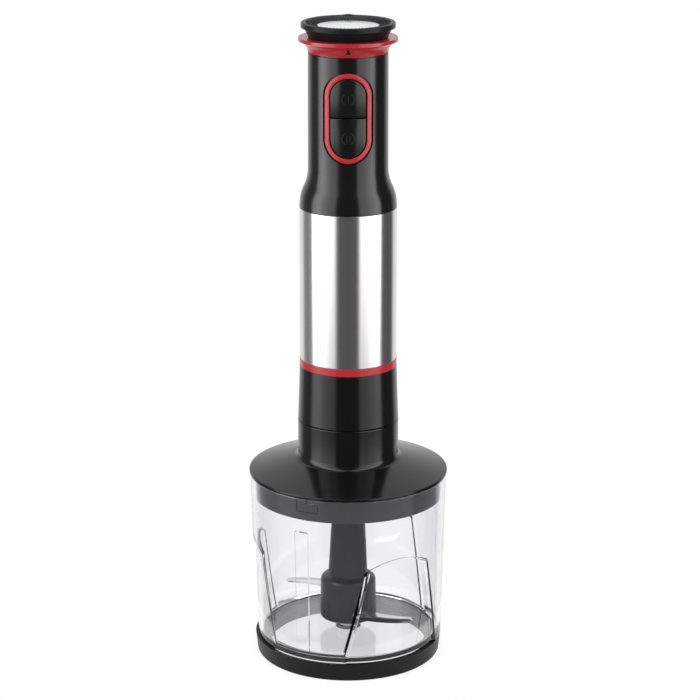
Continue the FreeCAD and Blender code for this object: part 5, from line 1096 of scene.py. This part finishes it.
def slice_upright(half):
    """Cut a flat piece into upright strips, from minus half to half."""
    for step in range(-int(half / STRIP_WIDTH), int(half / STRIP_WIDTH) + 1):
        bpy.ops.mesh.select_all(action="SELECT")
        bpy.ops.mesh.bisect(plane_co=(step * STRIP_WIDTH * MM, 0, 0), plane_no=(1, 0, 0))
    bpy.ops.object.mode_set(mode="OBJECT")


def button_plate(name, grow, front, depth, rim, side):
    """One button's part of a stadium that is this much larger than the face, curved round the grip."""
    half = BEZEL_HALF - BEZEL_BORDER - BUTTON_GAP + grow
    inset = BEZEL_BORDER + BUTTON_GAP - grow
    plate = stadium(name, half, bezel_low + inset, bezel_high - inset, front - depth,
                    (button_split + side * SPLIT_GAP, side))
    forward(depth - rim)
    if rim:
        roll(rim)
    slice_upright(half)
    return smooth(mend(shape(plate, curve_round)), 40)


def flat_seat(x, y, z):
    """The lip's back is flat where the spring meets it, which leaves room for the stroke."""
    return x, min(y, -SPRING_SEAT) if abs(x) < SEAT_HALF else y, z


button_split = (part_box("button_high")[0].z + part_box("button_low")[1].z) / 2 / MM
for node, side in (("button_high", 1), ("button_low", -1)):
    face = button_plate(node + "_face", 0, BEZEL_FRONT - BUTTON_SINK, FACE_DEPTH, BUTTON_ROUND, side)
    lip = button_plate(node + "_lip", LIP, BEZEL_FRONT - BUTTON_SINK - FACE_DEPTH - 0.02, LIP_DEPTH, 0, side)
    shape(lip, flat_seat)
    centre = (button_split + (bezel_high if side > 0 else bezel_low) - side * BEZEL_BORDER) / 2
    stem_from = BUTTON_SINK - BEZEL_FRONT + FACE_DEPTH + LIP_DEPTH - STEM_SUNK
    stem = drum(node + "_stem", STEM_RADIUS, stem_from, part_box(node)[1].y / MM, centre, 0.3)
    dress(smooth(join(face, lip, stem), 40), button_black, "button_black", node, node)

# %% [markdown]
# ## Collar and speed dial
# The red collar flares from the grip to a thin flange. The dial stands in it: a flared skirt, a wide rim
# and a shallow dish with fine ribs round a bright cap.

# %% Collar
collar_radius, collar_low, collar_high = span("top_collar")
COLLAR_FOOT, GROOVE, GROOVE_IN, RECESS, COLLAR_PLATE = 23.51, 0.6, 1.2, 23.3, 2.2
COLLAR_BORE, COLLAR_TENON, SHAFT_HOLE = 19.57, 21.37, 4.65
recess_floor = collar_high - 1.1
NECK, COVE = (COLLAR_FOOT, grip_high + 1.6), (COLLAR_FOOT + 1.45, grip_high + 4.4)
FLANGE = (collar_radius, grip_high + 7)
collar = lathe("collar_moulding", section(
    (COLLAR_BORE, collar_low), (COLLAR_TENON, collar_low), (COLLAR_TENON, grip_high),
    (COLLAR_FOOT - GROOVE_IN, grip_high), (COLLAR_FOOT - GROOVE_IN, grip_high + GROOVE),
    (COLLAR_FOOT, grip_high + GROOVE, 0.3), NECK,
    *bow(NECK, COVE, 5.5, 1), COVE, *bow(COVE, FLANGE, 6.5, 1), FLANGE, (collar_radius, collar_high, 0.5),
    (RECESS, collar_high), (RECESS, recess_floor), (SHAFT_HOLE, recess_floor),
    (SHAFT_HOLE, recess_floor - COLLAR_PLATE), (COLLAR_BORE, recess_floor - COLLAR_PLATE)))
dress(collar, collar_red, "accent_red", "motor_unit", "top_collar")

# %% Speed dial
dial_radius, dial_low, dial_high = span("speed_dial")
cap_radius, cap_low, cap_high = span("dial_cap")
HUMP, HUMP_TURN = 0.4, 7.5
dial_top = dial_high - HUMP
DISH_EDGE, DISH_FLOOR = dial_radius - 2.3, dial_top - 2.0
DIAL_BORE, DIAL_BOSS, BORE_TOP, PLATE_UNDER = 3.06, 6.0, cap_low - 1.35, cap_low - 1.9
PLATE_RADIUS, DIAL_FOOT_IN, DIAL_FOOT_OUT, DIAL_FLARE = 23.7, 20.7, 22.6, (25.6, dial_low + 5.6)
CAP_SEAT, RIM_LOW, LINE_RADIUS, LINE_LEVEL = cap_radius + 0.05, dial_low + 6.2, 26.2, dial_top - 0.3
dial = lathe("dial_moulding", section(
    (0, BORE_TOP), (DIAL_BORE, BORE_TOP), (DIAL_BORE, dial_low), (DIAL_BOSS, dial_low),
    (DIAL_BOSS, PLATE_UNDER), (PLATE_RADIUS, PLATE_UNDER), (DIAL_FOOT_IN, dial_low),
    (DIAL_FOOT_OUT, dial_low, 0.3), DIAL_FLARE, (dial_radius, RIM_LOW, 0.3), (dial_radius, dial_top, 0.8),
    (LINE_RADIUS + 0.3, dial_top), (LINE_RADIUS + 0.15, LINE_LEVEL), (LINE_RADIUS - 0.15, LINE_LEVEL),
    (LINE_RADIUS - 0.3, dial_top), (DISH_EDGE, dial_top, 0.3), (CAP_SEAT, DISH_FLOOR), (CAP_SEAT, cap_low),
    (0, cap_low)), facets=180)


def hump(x, y, z):
    """The rim rises to a small hump at the back, which a finger finds without looking."""
    if z < dial_top - 0.2 or math.hypot(x, y) < DISH_EDGE:
        return x, y, z
    turn = abs(math.degrees(math.atan2(x, y)))
    return x, y, z + HUMP * max(0, math.cos(math.radians(min(90, turn / HUMP_TURN * 90))))


smooth(shape(dial, hump))
dress(dial, dial_black, "dial_black", "dial", "speed_dial")

# %% [markdown]
# ### Ribs in the dish
# Fine ribs on the dish's slope let a fingertip turn the dial. One rib is a small block that is tapered
# towards the cap and bevelled; the others are copies of it, turned by equal steps.

# %% Dial ribs
RIBS, RIB_HIGH, RIB_SUNK, RIB_WIDE, RIB_CREST = 72, 0.32, 0.3, 0.8, 0.6
rib_from, rib_to = cap_radius + 0.5, DISH_EDGE - 0.5
dish_slope = (dial_top - DISH_FLOOR) / (DISH_EDGE - cap_radius)
only()
bpy.ops.mesh.primitive_cube_add(size=1, location=(0, 0, 0))
rib = bpy.context.object
rib.name = "dial_ribs"


def lay_rib(x, y, z):
    radius = rib_from + (rib_to - rib_from) * (0.5 - y * MM)
    wide = RIB_WIDE * radius / rib_to * (RIB_CREST if z > 0 else 1)
    level = DISH_FLOOR + (radius - cap_radius) * dish_slope
    return x * MM * wide, -radius, level + (RIB_HIGH if z > 0 else -RIB_SUNK)


ribs = [bevel(shape(rib, lay_rib), 0.1)]
for index in range(1, RIBS):
    only(rib)
    bpy.ops.object.duplicate()
    twin = bpy.context.object
    twin.rotation_euler.z = 2 * math.pi * index / RIBS
    ribs.append(settle(twin))
dress(smooth(mend(join(*ribs)), 40), dial_black, "dial_black", "dial")

# %% [markdown]
# ### Cap
# A thin turned disc with a rounded edge lies in the middle of the dish. It is a piece of its own, because it
# is metal.

# %% Dial cap
cap = lathe("dial_cap_disc", section(
    (0, cap_low), (cap_radius, cap_low), (cap_radius, cap_high - 0.26, 0.3), (0, cap_high)))
dress(cap, cap_silver, "cap_silver", "dial", "dial_cap")

# %% [markdown]
# ## Cord inlet and inner parts
# The gland at the back and all that lies inside the housing stay as they were packed. Each gets the finish
# of its material.

# %% Cord inlet and inner parts
paint(foot_black, "cord_gland")
paint(plain_steel, "motor_shaft", "lower_bearing", "upper_bearing", "motor_bolts", "button_spring_high",
      "button_spring_low")
paint(inner_grey, "drive_coupling", "motor_barrel", "cooling_fan", "switch_high", "switch_low")
paint(board_green, "switch_board", "control_board")
paint(cast_aluminium, "lower_bracket", "upper_bracket", "potentiometer")
paint(dark_steel, "stator_core", "armature_core")
paint(copper_wire, "field_coils", "armature_winding", "commutator")
paint(carbon_block, "carbon_brushes")
paint(yellow_brass, "brush_holders")
paint(seal_black, "damper_rings")
print("inner nodes painted")
